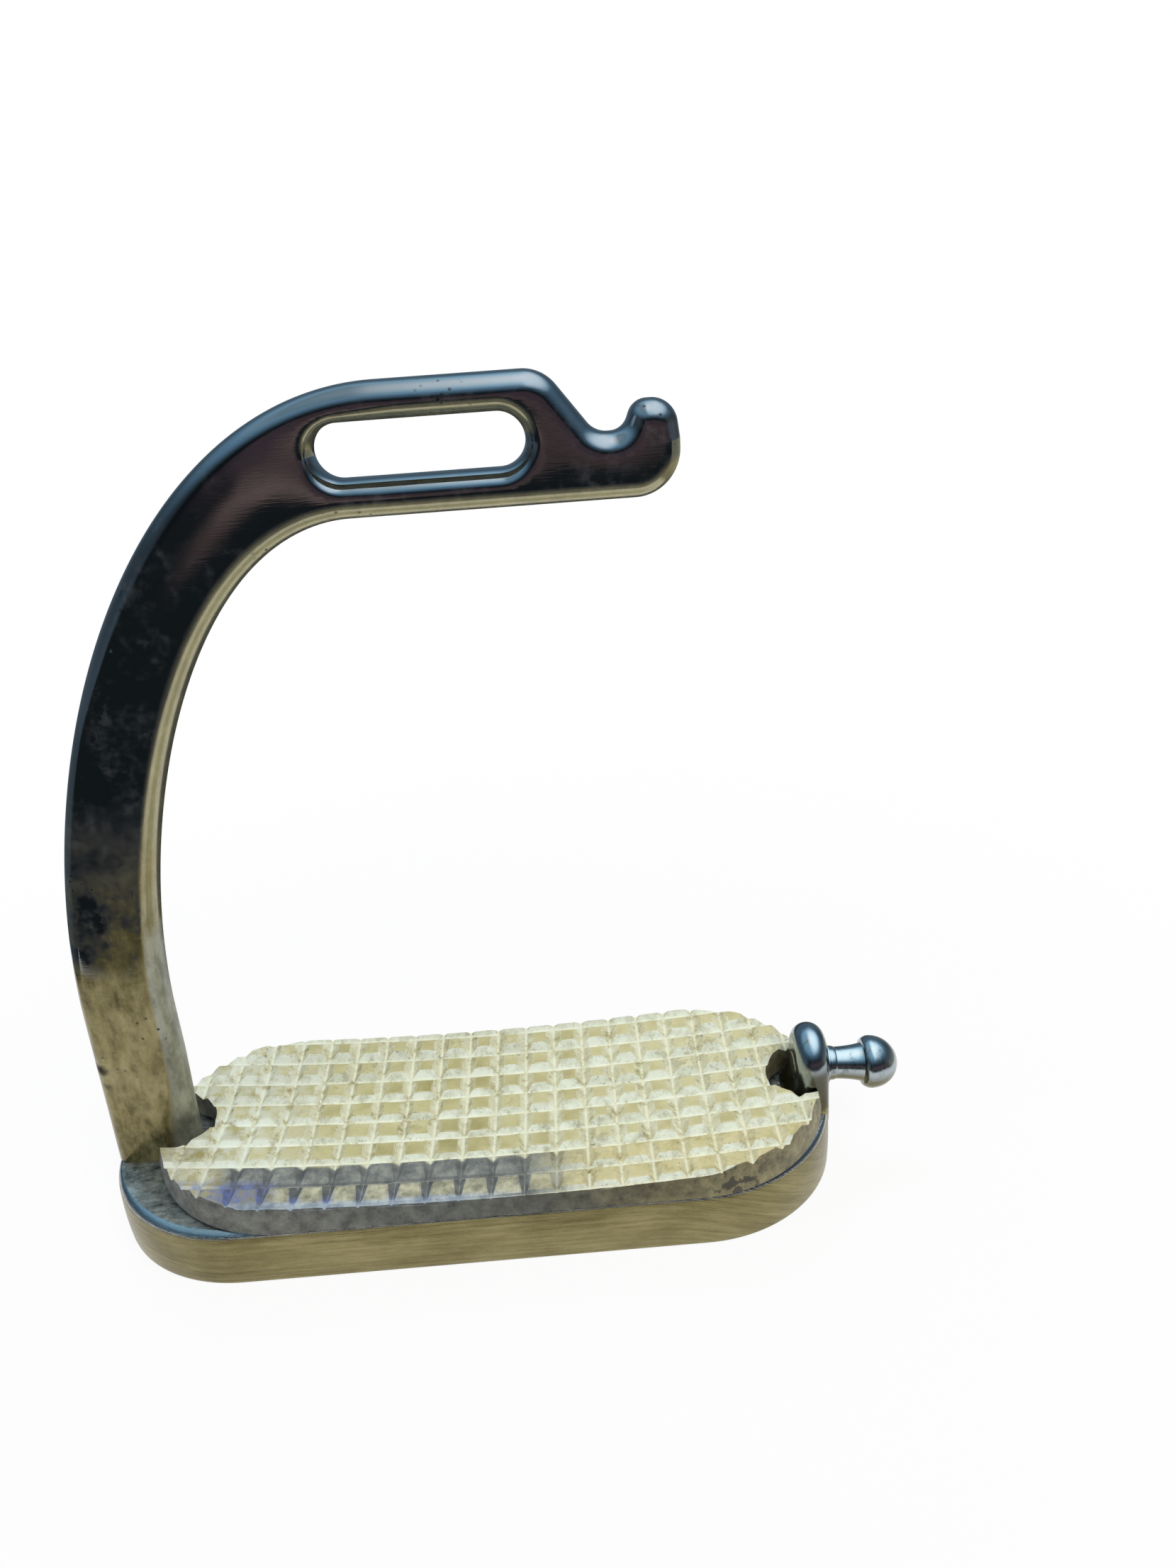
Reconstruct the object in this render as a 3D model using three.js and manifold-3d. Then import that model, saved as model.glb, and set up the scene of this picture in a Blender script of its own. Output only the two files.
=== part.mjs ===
// A peacock safety stirrup: an iron with one arm, and a rubber tread on its base.
// Millimetres, +Z up. The origin is the middle of the base's underside. The arm rises
// at the -X end and the stud for the release ring is at the +X end. +Y is the back.

import * as THREE from 'three';
import { mergeVertices } from 'three/addons/utils/BufferGeometryUtils.js';
import Module from 'manifold-3d';

const wasm = await Module();
wasm.setup();

// The base casting: a flat top, rounded ends and a hollow underside.
const BASE_LENGTH = 150.8;
const BASE_DEPTH = 55;
const BASE_HEIGHT = 13.3;
const END_REACH = 29.3; // length along X of each half-elliptic end
const BASE_ROUND = 1.2; // upper edge
const SOLE_ROUND = 1; // bevel at the lower edge
const WEB = 5; // metal under the tread
const RIM = 5.8; // wall round the hollow
const RIB = 6; // bar across the middle of the hollow
const END_BLOCK = 21; // solid metal under the arm and under the lug
const SLOT_LENGTH = 34; // the two slots that take the tread's plugs
const SLOT_WIDTH = 15;

// The lug that carries the stud, an upright tab with a round top.
const LUG_INSET = 0.4; // its outer face is this far in from the base's end
const LUG_THICKNESS = 6.8;
const LUG_WIDTH = 14.4;
const LUG_HEIGHT = 16.6; // above the base's top
const LUG_ROUND = 3.3;

// The stud, turned and riveted into the lug. It leans down a little.
const STUD_RISE = 7.3; // its axis above the base's top, at the lug's outer face
const STUD_LEAN = 3.5; // degrees below level
const SHANK_RADIUS = 2.6;
const NECK_ROOT_RADIUS = 3.35;
const NECK_RADIUS = 3.95; // where the neck meets the head
const NECK_LENGTH = 7.8;
const ROOT_FLARE = 1; // how far along the neck its root spreads
const HEAD_RADIUS = 5.5;
const HEAD_LENGTH = 7.6;
const HEAD_BACK = 1.9; // from the head's back to its widest place
const HEAD_EDGE = 0.6; // bevel round its back

// The bow: the arm, the bar with the eye for the leather, and the ring hook.
const HEIGHT = 164.3; // overall
const BOW_DEPTH = 9.4;
const BOW_ROUND = 3.2; // all long edges
const FOOT_WIDTH = 17.8;
const FOOT_FLARE = 1.2; // extra width at the foot's inner edge
const FOOT_FLARE_RISE = 4;
const NOSE = 7; // the foot's inner edge is drawn out to a long round nose
const NOSE_RISE = 25; // and is back to the common rounding this far up
const NOSE_FLAT = 0.2; // half the upright strip left at its front
const OUTER_LEG = 35.1; // straight outer edge above the base
const OUTER_LEAN = 0.95; // it leans in by this much
const OUTER_RISE = 50; // handles of the curve that follows it
const OUTER_RUN = 44.2;
const OUTER_END = -1; // where that curve meets the bar's top edge
const INNER_LEG = 32.8;
const INNER_LEAN = 0.3;
const INNER_RISE = 40.7;
const INNER_RUN = 29.7;
const INNER_END = -7.3;
const BAR_HEIGHT = 21.6;
const EYE_LENGTH = 34.8;
const EYE_HEIGHT = 9.1;
const EYE_SILL = 6.4; // metal under the eye
const EYE_X = 5.4; // middle of the eye
const EYE_ROUND = 1.6; // its edges
const BAR_END = 48.2; // the hook's far side
const THROAT_START = 26.3; // where the bar's top edge turns down to the throat
const THROAT_FLOOR = 10.9; // above the bar's lower edge
const THROAT_WIDTH = 4.5; // of its floor
const THROAT_SLOPE = 8; // how far the long side runs along X
const THROAT_ROUND = 4; // at the foot of the long side
const THROAT_CORNER = 3; // at the foot of the short side
const TIP_HEIGHT = 15.7; // above the bar's lower edge
const TIP_SLOPE = 1.85; // how far the short side runs along X
const TIP_BACK = 0.8; // the tip is this much in from the hook's far side
const TIP_ROUND = 3.3; // on the throat's side
const TIP_FAR_ROUND = 4.2;
const HOOK_ROUND = 7.8; // lower corner
const HOOK_BEND = 9.4; // above this it leans in to the tip
const SHOULDER_ROUND = 7; // where the top edge turns down
const TENON_LENGTH = 8;
const TENON_WALL = 3.6; // foot left round the tenon along X
const TENON_CHEEK = 2; // and along Y

// The rubber tread: a slab cut into blunt pyramids by two sets of grooves.
const PITCH = 6.35;
const GROOVE_DEPTH = 2.0;
const GROOVE_WIDTH = 3.95;
const TREAD_THICKNESS = 2.2; // under the grooves, at the middle
const END_CURL = 3.6; // the ends stand this much higher
const EDGE_CURL = 1.9; // and so do the long edges
const TREAD_MARGIN_X = 6.1; // the base's half length less the tread's
const TREAD_MARGIN_Y = 0.9; // and the same for the depth
const TREAD_REACH = 28; // length along X of each half-elliptic end
const TREAD_DRAFT = 1.7; // its walls lean in by this much
const TREAD_SKIRT = 1; // above this much upright wall
const TREAD_SHIFT_X = -1.2; // it has crept this much from midway
const TREAD_SHIFT_Y = -1.5;
const NOTCH_GAP = 4.5; // from a notch's end to the foot or the lug
const NOTCH_SIDE = 0.6; // from a notch's side to the lug
const PLUG_PROUD = 1; // plug left showing under the web

const CLEARANCE = 0.3;

const halfLength = BASE_LENGTH / 2;
const halfDepth = BASE_DEPTH / 2;
const baseTop = BASE_HEIGHT;
const barBottom = HEIGHT - BAR_HEIGHT;
const footOuter = -halfLength;
const footInner = footOuter + FOOT_WIDTH;
const lugOuter = halfLength - LUG_INSET;
const lugInner = lugOuter - LUG_THICKNESS;
const treadX = (footInner + lugInner) / 2 + TREAD_SHIFT_X;
const treadHalfLength = halfLength - TREAD_MARGIN_X;
const treadHalfDepth = halfDepth - TREAD_MARGIN_Y;
const slotX = (halfLength - END_BLOCK + RIB / 2) / 2;
const cutThrough = 20; // how far a cutting tool overshoots

// Joins equal corners and drops the slivers that a lathe leaves on its axis.
function solid(geometry) {
  const bare = geometry.clone();
  bare.deleteAttribute('normal');
  bare.deleteAttribute('uv');
  const merged = mergeVertices(bare, 1e-4);
  const corners = merged.index.array;
  const kept = [];
  for (let i = 0; i < corners.length; i += 3) {
    const [a, b, c] = corners.slice(i, i + 3);
    if (a !== b && b !== c && c !== a) kept.push(a, b, c);
  }
  return new wasm.Manifold(new wasm.Mesh({
    numProp: 3,
    vertProperties: new Float32Array(merged.attributes.position.array),
    triVerts: new Uint32Array(kept),
  }));
}

function geometryOf(body) {
  const { vertProperties, triVerts } = body.getMesh();
  const geometry = new THREE.BufferGeometry();
  geometry.setAttribute('position', new THREE.BufferAttribute(new Float32Array(vertProperties), 3));
  geometry.setIndex(new THREE.BufferAttribute(new Uint32Array(triVerts), 1));
  geometry.computeVertexNormals();
  return geometry;
}

// A block between two corners.
function block(x0, x1, y0, y1, z0, z1) {
  const geometry = new THREE.BoxGeometry(x1 - x0, y1 - y0, z1 - z0);
  geometry.translate((x0 + x1) / 2, (y0 + y1) / 2, (z0 + z1) / 2);
  return solid(geometry);
}

// A closed skin over matching rings of points. Each loop in loops is a list of rings,
// the first loop being the outside and any others holes. flat gives a point's place on
// the end faces. The rings run away from the first end face, whose outline is
// anticlockwise as seen from the last one.
function skin(loops, flat) {
  const points = [];
  const faces = [];
  const counts = loops.map((rings) => rings[0].length);
  const perRing = counts.reduce((sum, count) => sum + count, 0);
  const ringCount = loops[0].length;
  for (let k = 0; k < ringCount; k += 1) {
    for (const rings of loops) points.push(...rings[k]);
  }
  let start = 0;
  for (const count of counts) {
    for (let k = 0; k + 1 < ringCount; k += 1) {
      for (let i = 0; i < count; i += 1) {
        const a = k * perRing + start + i;
        const b = k * perRing + start + (i + 1) % count;
        faces.push(a, b, b + perRing, a, b + perRing, a + perRing);
      }
    }
    start += count;
  }
  const last = (ringCount - 1) * perRing;
  for (const from of [0, last]) {
    const outlines = loops.map((rings) => rings[from === 0 ? 0 : ringCount - 1].map(flat));
    const corners = outlines.flat();
    for (const [a, b, c] of THREE.ShapeUtils.triangulateShape(outlines[0], outlines.slice(1))) {
      const turn = corners[b].clone().sub(corners[a]).cross(corners[c].clone().sub(corners[a]));
      const forward = (turn > 0) === (from === last);
      faces.push(from + a, from + (forward ? b : c), from + (forward ? c : b));
    }
  }
  const geometry = new THREE.BufferGeometry();
  geometry.setAttribute('position', new THREE.Float32BufferAttribute(points.flat(), 3));
  geometry.setIndex(faces);
  return geometry;
}

// A straight-sided outline with half-elliptic ends, drawn in by inset.
function oval(length, depth, reach, inset, steps) {
  const path = new THREE.Path();
  const flank = length - reach;
  path.absellipse(flank, 0, reach - inset, depth - inset, -Math.PI / 2, Math.PI / 2);
  path.absellipse(-flank, 0, reach - inset, depth - inset, Math.PI / 2, Math.PI * 1.5);
  return path.getPoints(steps);
}

// An upright solid over such outlines, from [height, inset] pairs, lowest first.
function ovalSolid(length, depth, reach, levels, steps) {
  const rings = levels.map(([z, inset]) => oval(length, depth, reach, inset, steps)
    .map((p) => [p.x, p.y, z]));
  return solid(skin([rings], ([x, y]) => new THREE.Vector2(x, y)));
}

// Points along a closed path: a few to each bend, more to each long curve.
function pointsAlong(path, bendSteps, curveSteps) {
  const points = [];
  for (const curve of path.curves.filter((each) => each.getLength() > 1e-6)) {
    let steps = curveSteps;
    if (curve.isLineCurve) steps = 1;
    if (curve.isEllipseCurve) steps = bendSteps;
    points.push(...curve.getPoints(steps).slice(0, -1));
  }
  return points;
}

// The direction into the metal at each point, the metal being on the left.
function inwards(points) {
  return points.map((p, i) => {
    const before = points[(i + points.length - 1) % points.length];
    const after = points[(i + 1) % points.length];
    const back = p.clone().sub(before).normalize();
    const ahead = after.clone().sub(p).normalize();
    const along = back.add(ahead).normalize();
    return new THREE.Vector2(-along.y, along.x);
  });
}

// A plate in the XZ plane with rounded edges. edge gives, for an outline point, how far
// in its rounding reaches and how far down the plate's side.
function plate(outlines, depth, edge, steps) {
  const loops = outlines.map((points) => {
    const normals = inwards(points);
    const rings = [];
    for (let k = -steps; k <= steps; k += 1) {
      const turn = (Math.abs(k) / steps) * (Math.PI / 2);
      const ring = (side) => points.map((p, i) => {
        const { reach, fall } = edge(p);
        const inset = reach * (1 - Math.cos(turn));
        const y = side * (depth / 2 - fall + fall * Math.sin(turn));
        return [p.x + normals[i].x * inset, y, p.y + normals[i].y * inset];
      });
      if (k <= 0) rings.push(ring(1));
      if (k >= 0) rings.push(ring(-1));
    }
    return rings;
  });
  return solid(skin(loops, ([x, , z]) => new THREE.Vector2(x, z)));
}

// Runs a path on to the next corner, rounds it, and stops at the end of the bend.
function turnCorner(path, corner, next, radius) {
  const here = path.currentPoint;
  const into = corner.clone().sub(here).normalize();
  const out = next.clone().sub(corner).normalize();
  const turn = Math.atan2(into.cross(out), into.dot(out));
  const lead = radius * Math.tan(Math.abs(turn) / 2);
  const from = corner.clone().addScaledVector(into, -lead);
  const side = Math.sign(turn);
  const centre = from.clone().add(new THREE.Vector2(-into.y, into.x).multiplyScalar(side * radius));
  const first = Math.atan2(from.y - centre.y, from.x - centre.x);
  path.absarc(centre.x, centre.y, radius, first, first + turn, turn < 0);
}

function bowOutline() {
  const floor = barBottom + THROAT_FLOOR;
  const tip = barBottom + TIP_HEIGHT;
  const throatLeft = THROAT_START + THROAT_SLOPE;
  const throatRight = throatLeft + THROAT_WIDTH;
  const cutEnd = baseTop - 2 * NOSE;
  const corners = [
    [BAR_END, barBottom, HOOK_ROUND],
    [BAR_END, barBottom + HOOK_BEND, TIP_FAR_ROUND],
    [BAR_END - TIP_BACK, tip, TIP_FAR_ROUND],
    [throatRight + TIP_SLOPE, tip, TIP_ROUND],
    [throatRight, floor, THROAT_CORNER],
    [throatLeft, floor, THROAT_ROUND],
    [THROAT_START, HEIGHT, SHOULDER_ROUND],
  ].map(([x, z, radius]) => ({ at: new THREE.Vector2(x, z), radius }));
  const outerTop = baseTop + OUTER_LEG;
  const innerTop = baseTop + INNER_LEG;
  const outerPull = new THREE.Vector2(OUTER_LEAN, OUTER_LEG).setLength(OUTER_RISE);
  const innerPull = new THREE.Vector2(INNER_LEAN, INNER_LEG).setLength(INNER_RISE);
  const path = new THREE.Path();
  path.moveTo(footInner + FOOT_FLARE, cutEnd);
  path.lineTo(footInner + FOOT_FLARE, baseTop);
  path.lineTo(footInner + FOOT_FLARE / 4, baseTop + FOOT_FLARE_RISE / 2);
  path.lineTo(footInner, baseTop + FOOT_FLARE_RISE);
  path.lineTo(footInner + (INNER_LEAN * NOSE_RISE) / INNER_LEG, baseTop + NOSE_RISE);
  path.lineTo(footInner + INNER_LEAN, innerTop);
  path.bezierCurveTo(
    footInner + INNER_LEAN + innerPull.x, innerTop + innerPull.y,
    INNER_END - INNER_RUN, barBottom,
    INNER_END, barBottom,
  );
  const barTopEnd = new THREE.Vector2(OUTER_END, HEIGHT);
  corners.forEach(({ at, radius }, i) => {
    turnCorner(path, at, i + 1 < corners.length ? corners[i + 1].at : barTopEnd, radius);
  });
  path.lineTo(OUTER_END, HEIGHT);
  path.bezierCurveTo(
    OUTER_END - OUTER_RUN, HEIGHT,
    footOuter + OUTER_LEAN + outerPull.x, outerTop + outerPull.y,
    footOuter + OUTER_LEAN, outerTop,
  );
  path.lineTo(footOuter, baseTop);
  path.lineTo(footOuter, cutEnd);
  path.closePath();
  return pointsAlong(path, 4, 18);
}

function eyeOutline() {
  const radius = EYE_HEIGHT / 2;
  const middle = barBottom + EYE_SILL + radius;
  const flank = EYE_LENGTH / 2 - radius;
  const path = new THREE.Path();
  path.absarc(EYE_X - flank, middle, radius, -Math.PI / 2, Math.PI / 2, true);
  path.absarc(EYE_X + flank, middle, radius, Math.PI / 2, -Math.PI / 2, true);
  path.closePath();
  return pointsAlong(path, 8, 1);
}

// How far the foot's nose has come on, from 0 well up the leg to 1 at the base.
function noseShare(p) {
  const onLeg = p.x > (footOuter + footInner) / 2 && p.x < footInner + NOSE;
  if (!onLeg) return 0;
  return THREE.MathUtils.clamp((baseTop + NOSE_RISE - p.y) / NOSE_RISE, 0, 1);
}

// Whether a point of an outline lies on the eye's.
function onEye(p) {
  const middle = barBottom + EYE_SILL + EYE_HEIGHT / 2;
  const besideEye = Math.abs(p.x - EYE_X) < EYE_LENGTH / 2 + EYE_ROUND / 2;
  return besideEye && Math.abs(p.y - middle) < (EYE_HEIGHT + EYE_ROUND) / 2;
}

function bow() {
  const fullFall = BOW_DEPTH / 2 - NOSE_FLAT;
  const edge = (p) => {
    const share = noseShare(p);
    const round = onEye(p) ? EYE_ROUND : BOW_ROUND;
    return {
      reach: THREE.MathUtils.lerp(round, NOSE, share),
      fall: THREE.MathUtils.lerp(round, fullFall, share),
    };
  };
  const body = plate([bowOutline(), eyeOutline()], BOW_DEPTH, edge, 4);
  const below = block(
    footOuter - cutThrough, footInner + cutThrough,
    -BOW_DEPTH, BOW_DEPTH,
    baseTop - cutThrough, baseTop,
  );
  return body.subtract(below).add(tenon(0, TENON_LENGTH));
}

// The peg under the arm's foot. With a clearance it cuts its own socket.
function tenon(clearance, length) {
  const cheek = BOW_DEPTH / 2 - TENON_CHEEK + clearance;
  return block(
    footOuter + TENON_WALL - clearance, footInner - TENON_WALL + clearance,
    -cheek, cheek,
    baseTop - length - clearance, baseTop + BOW_ROUND,
  );
}

function lug() {
  const radius = LUG_WIDTH / 2;
  const centre = baseTop + LUG_HEIGHT - radius;
  const path = new THREE.Path();
  const root = baseTop - BASE_ROUND - LUG_ROUND;
  path.moveTo(-radius, root);
  path.lineTo(radius, root);
  path.lineTo(radius, centre);
  path.absarc(0, centre, radius, 0, Math.PI);
  path.closePath();
  const points = pointsAlong(path, 16, 1);
  const tab = plate([points], LUG_THICKNESS, () => ({ reach: LUG_ROUND, fall: LUG_ROUND }), 4);
  return tab.rotate([0, 0, 90]).translate([lugOuter - LUG_THICKNESS / 2, 0, 0]);
}

// Puts a turned piece, drawn along +Y from the lug's outer face, on the stud's axis.
function onStudAxis(body) {
  return body
    .rotate([0, 0, -90])
    .rotate([0, STUD_LEAN, 0])
    .translate([lugOuter, 0, baseTop + STUD_RISE]);
}

function turned(profile, sides) {
  return solid(new THREE.LatheGeometry(profile.map(([r, t]) => new THREE.Vector2(r, t)), sides));
}

// Face to face with the lug, but for the clearance and the lean.
const studSeat = CLEARANCE + NECK_RADIUS * Math.sin(THREE.MathUtils.degToRad(STUD_LEAN));

function stud() {
  const widest = NECK_LENGTH + HEAD_BACK;
  const dome = HEAD_LENGTH - HEAD_BACK;
  const profile = [
    [0, -LUG_THICKNESS],
    [SHANK_RADIUS, -LUG_THICKNESS],
    [SHANK_RADIUS, studSeat],
    [NECK_RADIUS, studSeat],
    [NECK_ROOT_RADIUS, studSeat + ROOT_FLARE],
    [NECK_RADIUS, NECK_LENGTH],
    [HEAD_RADIUS - HEAD_EDGE, NECK_LENGTH],
    [HEAD_RADIUS - HEAD_EDGE / 5, NECK_LENGTH + HEAD_EDGE],
    [HEAD_RADIUS, widest],
  ];
  const domeSteps = 6;
  for (let k = 1; k <= domeSteps; k += 1) {
    const turn = (k / domeSteps) * (Math.PI / 2);
    profile.push([k < domeSteps ? HEAD_RADIUS * Math.cos(turn) : 0, widest + dome * Math.sin(turn)]);
  }
  return onStudAxis(turned(profile, 24));
}

function studHole() {
  const radius = SHANK_RADIUS + CLEARANCE;
  const far = LUG_THICKNESS * 2;
  return onStudAxis(turned([[0, -far], [radius, -far], [radius, far], [0, far]], 24));
}

// The space under the web, in two bays with the rib between them.
function hollow() {
  const roof = BASE_HEIGHT - WEB;
  const room = ovalSolid(halfLength, halfDepth, END_REACH, [[-cutThrough, RIM], [roof, RIM]], 6);
  const bays = [-1, 1].map((side) => {
    const near = side * RIB / 2;
    const far = side * (halfLength - END_BLOCK);
    return block(
      Math.min(near, far), Math.max(near, far),
      -halfDepth, halfDepth,
      -cutThrough, roof,
    );
  });
  return room.intersect(bays[0].add(bays[1]));
}

// A round-ended upright block: a slot through the web, or a plug that fills one.
function plug(side, clearance, z0, z1) {
  const half = SLOT_LENGTH / 2 - clearance;
  const radius = SLOT_WIDTH / 2 - clearance;
  return ovalSolid(half, radius, radius, [[z0, 0], [z1, 0]], 4).translate([side * slotX, 0, 0]);
}

function treadBase() {
  const levels = [[0, SOLE_ROUND], [SOLE_ROUND, 0]];
  for (let k = 0; k <= 3; k += 1) {
    const turn = (k / 3) * (Math.PI / 2);
    const z = baseTop - BASE_ROUND + BASE_ROUND * Math.sin(turn);
    levels.push([z, BASE_ROUND * (1 - Math.cos(turn))]);
  }
  return ovalSolid(halfLength, halfDepth, END_REACH, levels, 12)
    .subtract(hollow())
    .subtract(plug(-1, 0, 0, baseTop + cutThrough))
    .subtract(plug(1, 0, 0, baseTop + cutThrough))
    .add(lug())
    .subtract(tenon(CLEARANCE, TENON_LENGTH))
    .subtract(studHole());
}

// One long wedge with its point down, along +Y, cut out of the tread for each groove.
function grooveTool(length) {
  const over = 1.5;
  const half = (GROOVE_WIDTH / 2) * (1 + over);
  const shape = new THREE.Shape();
  shape.moveTo(0, 0);
  shape.lineTo(half, GROOVE_DEPTH * (1 + over));
  shape.lineTo(-half, GROOVE_DEPTH * (1 + over));
  shape.closePath();
  const geometry = new THREE.ExtrudeGeometry(shape, { depth: length, bevelEnabled: false });
  geometry.rotateX(Math.PI / 2);
  geometry.translate(0, length / 2, 0);
  return solid(geometry);
}

function grooves(z) {
  const cutters = [];
  const span = 2 * (treadHalfLength + treadHalfDepth);
  const tool = grooveTool(span);
  const across = Math.ceil(treadHalfLength / PITCH);
  for (let i = -across; i <= across; i += 1) {
    cutters.push(tool.translate([i * PITCH, 0, z]));
  }
  const along = Math.ceil(treadHalfDepth / PITCH);
  const lengthwise = tool.rotate([0, 0, 90]);
  for (let j = -along; j <= along; j += 1) {
    cutters.push(lengthwise.translate([0, j * PITCH, z]));
  }
  return cutters.reduce((sum, cutter) => sum.add(cutter));
}

// The notch that clears the arm's foot or the lug: a round inner end, open outwards.
function notch(side) {
  const radius = LUG_WIDTH / 2 + NOTCH_SIDE;
  const end = side < 0 ? footInner + NOTCH_GAP + TREAD_SHIFT_X : lugInner - NOTCH_GAP + TREAD_SHIFT_X;
  const length = halfLength;
  return ovalSolid(length, radius, radius, [[0, 0], [baseTop + cutThrough, 0]], 6)
    .translate([end + side * length, 0, 0]);
}

// The top is dished: its ends and its long edges have curled up.
function curl(x, y) {
  const u = (x - treadX) / treadHalfLength;
  const v = (y - TREAD_SHIFT_Y) / treadHalfDepth;
  return END_CURL * u * u + EDGE_CURL * v * v;
}

function treadPad() {
  const valley = baseTop + TREAD_THICKNESS;
  const top = valley + GROOVE_DEPTH;
  const slab = ovalSolid(treadHalfLength, treadHalfDepth, TREAD_REACH, [
    [baseTop, 0],
    [baseTop + TREAD_SKIRT, 0],
    [top, TREAD_DRAFT],
  ], 10);
  const cut = slab.subtract(grooves(valley))
    .translate([treadX, TREAD_SHIFT_Y, 0])
    .subtract(notch(-1))
    .subtract(notch(1));
  const dished = cut.warp((p) => {
    const share = THREE.MathUtils.clamp((p[2] - baseTop) / TREAD_SKIRT, 0, 1);
    p[2] += share * curl(p[0], p[1]);
  });
  const floor = baseTop - WEB - PLUG_PROUD;
  return dished
    .add(plug(-1, CLEARANCE, floor, baseTop + TREAD_SKIRT))
    .add(plug(1, CLEARANCE, floor, baseTop + TREAD_SKIRT));
}

function named(name, body, material) {
  const mesh = new THREE.Mesh(geometryOf(body), material);
  mesh.name = name;
  return mesh;
}

const castSteel = new THREE.MeshStandardMaterial({ color: 0x8a8678, roughness: 0.28, metalness: 1 });
const polishedSteel = new THREE.MeshStandardMaterial({ color: 0x9aa0ac, roughness: 0.16, metalness: 1 });
const turnedSteel = new THREE.MeshStandardMaterial({ color: 0xa29d8c, roughness: 0.2, metalness: 1 });
const rubber = new THREE.MeshStandardMaterial({ color: 0xd9d2bd, roughness: 0.8, metalness: 0 });

const stirrup = new THREE.Group();
stirrup.add(named('tread_base', treadBase(), castSteel));
stirrup.add(named('bow', bow(), polishedSteel));
stirrup.add(named('ring_stud', stud(), turnedSteel));
stirrup.add(named('tread_pad', treadPad(), rubber));

export default stirrup;
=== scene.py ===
"""A one-armed safety stirrup iron of polished steel with a cream rubber tread.

Lengths are in millimetres until a mesh is made, and then in metres. +X points to
the stud for the release ring, +Y to the back and +Z up to the eye for the leather.
"""

import math
import random

import bmesh
import bpy
import numpy as np
from mathutils import Matrix, Vector, geometry, noise


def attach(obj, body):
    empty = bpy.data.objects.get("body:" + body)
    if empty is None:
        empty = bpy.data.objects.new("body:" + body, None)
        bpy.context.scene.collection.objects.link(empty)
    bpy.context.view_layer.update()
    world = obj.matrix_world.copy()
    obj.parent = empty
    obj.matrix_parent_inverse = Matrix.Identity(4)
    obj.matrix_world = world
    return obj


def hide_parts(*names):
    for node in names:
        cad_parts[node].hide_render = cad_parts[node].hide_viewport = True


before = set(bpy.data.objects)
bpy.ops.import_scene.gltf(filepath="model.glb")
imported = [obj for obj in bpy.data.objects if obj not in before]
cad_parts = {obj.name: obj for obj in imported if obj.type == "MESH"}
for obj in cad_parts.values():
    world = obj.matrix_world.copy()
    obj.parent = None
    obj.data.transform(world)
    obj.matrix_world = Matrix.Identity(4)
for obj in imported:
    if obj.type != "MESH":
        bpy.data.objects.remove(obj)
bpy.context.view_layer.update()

MM = 0.001

# The base casting.
BASE_LENGTH = 150.8
BASE_DEPTH = 55
BASE_HEIGHT = 13.3
END_REACH = 29.3
BASE_ROUND = 2
END_SQUARENESS = 0.6  # how much of that rounding is missing at the very ends
SOLE_ROUND = 1.2
WALL_BULGE = 0.25
WEB = 5
RIM = 5.8
RIB = 6
END_BLOCK = 21
SLOT_LENGTH = 34
SLOT_WIDTH = 15

# The lug and the stud.
LUG_INSET = 0.4
LUG_THICKNESS = 6.8
LUG_WIDTH = 14.4
LUG_HEIGHT = 16.6
LUG_ROUND = 3.3
LUG_FLARE = 2.2
LUG_FLARE_RISE = 6
LUG_SPREAD = 0.1  # how much wider its root is, as a share
LUG_SUNK = 3
STUD_RISE = 7.3
STUD_LEAN = 3.5
SHANK_RADIUS = 2.9
SHANK_DOME = 0.35
COLLAR = 0.3  # how far it stands out beyond the neck
COLLAR_SUNK = 0.5
COLLAR_PROUD = 0.35
CREASE = 0.35  # how far it goes in from the neck's radius
CREASE_RISE = 0.6
NECK_ROOT_RISE = 1.4
NECK_ROOT_RADIUS = 3.35
NECK_RADIUS = 3.95
NECK_LENGTH = 7.8
HEAD_RADIUS = 5.5
HEAD_LENGTH = 7.6
HEAD_BACK = 1.9
HEAD_BACK_TURN = math.radians(55)

# The bow: arm, bar with the eye, and ring hook.
HEIGHT = 164.3
BOW_DEPTH = 9.4
BOW_ROUND = 3.2
BOW_FALL = 4.3  # how far that rounding reaches over the edge
FOOT_WIDTH = 17.8
FOOT_FLARE = 1.2
FOOT_FLARE_RISE = 4
NOSE = 7
NOSE_RISE = 25
NOSE_FLAT = 0.2  # half of what it leaves flat between its two roundings
NOSE_CUT = 0.45  # how much flatter than a circle they are cut
OUTER_LEG, OUTER_LEAN, OUTER_RISE, OUTER_RUN, OUTER_END = 35.1, 0.95, 50, 44.2, -1
INNER_LEG, INNER_LEAN, INNER_RISE, INNER_RUN, INNER_END = 32.8, 0.3, 40.7, 29.7, -7.3
BAR_HEIGHT = 21.6
EYE_LENGTH = 34.8
EYE_HEIGHT = 9.1
EYE_SILL = 6.4
EYE_X = 5.4
EYE_ROUND = 2.6
EYE_FALL = 4.2
EYE_PINCH = 1.1  # how much less that is at the eye's upper left
EYE_PINCH_REACH = 12
BAR_END = 48.2
THROAT_START = 26.3
THROAT_FLOOR = 10.9
THROAT_WIDTH = 4.5
THROAT_SLOPE = 8
THROAT_ROUND = 4
THROAT_CORNER = 3
TIP_HEIGHT = 15.7
TIP_SLOPE = 1.85
TIP_BACK = 0.8
TIP_ROUND = 3.3
TIP_FAR_ROUND = 4.2
HOOK_ROUND = 7.8
HOOK_BEND = 9.4
SHOULDER_ROUND = 7
CROWN = 0.011  # swell of the polished faces, per millimetre
CAP_SPACING = 1.1  # between the points of those faces
ROW_SHARE = 0.866  # a triangle's height over its side, all sides being equal
RIM_SHARE = 0.55  # how near the rim a point may come, over their spacing
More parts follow.
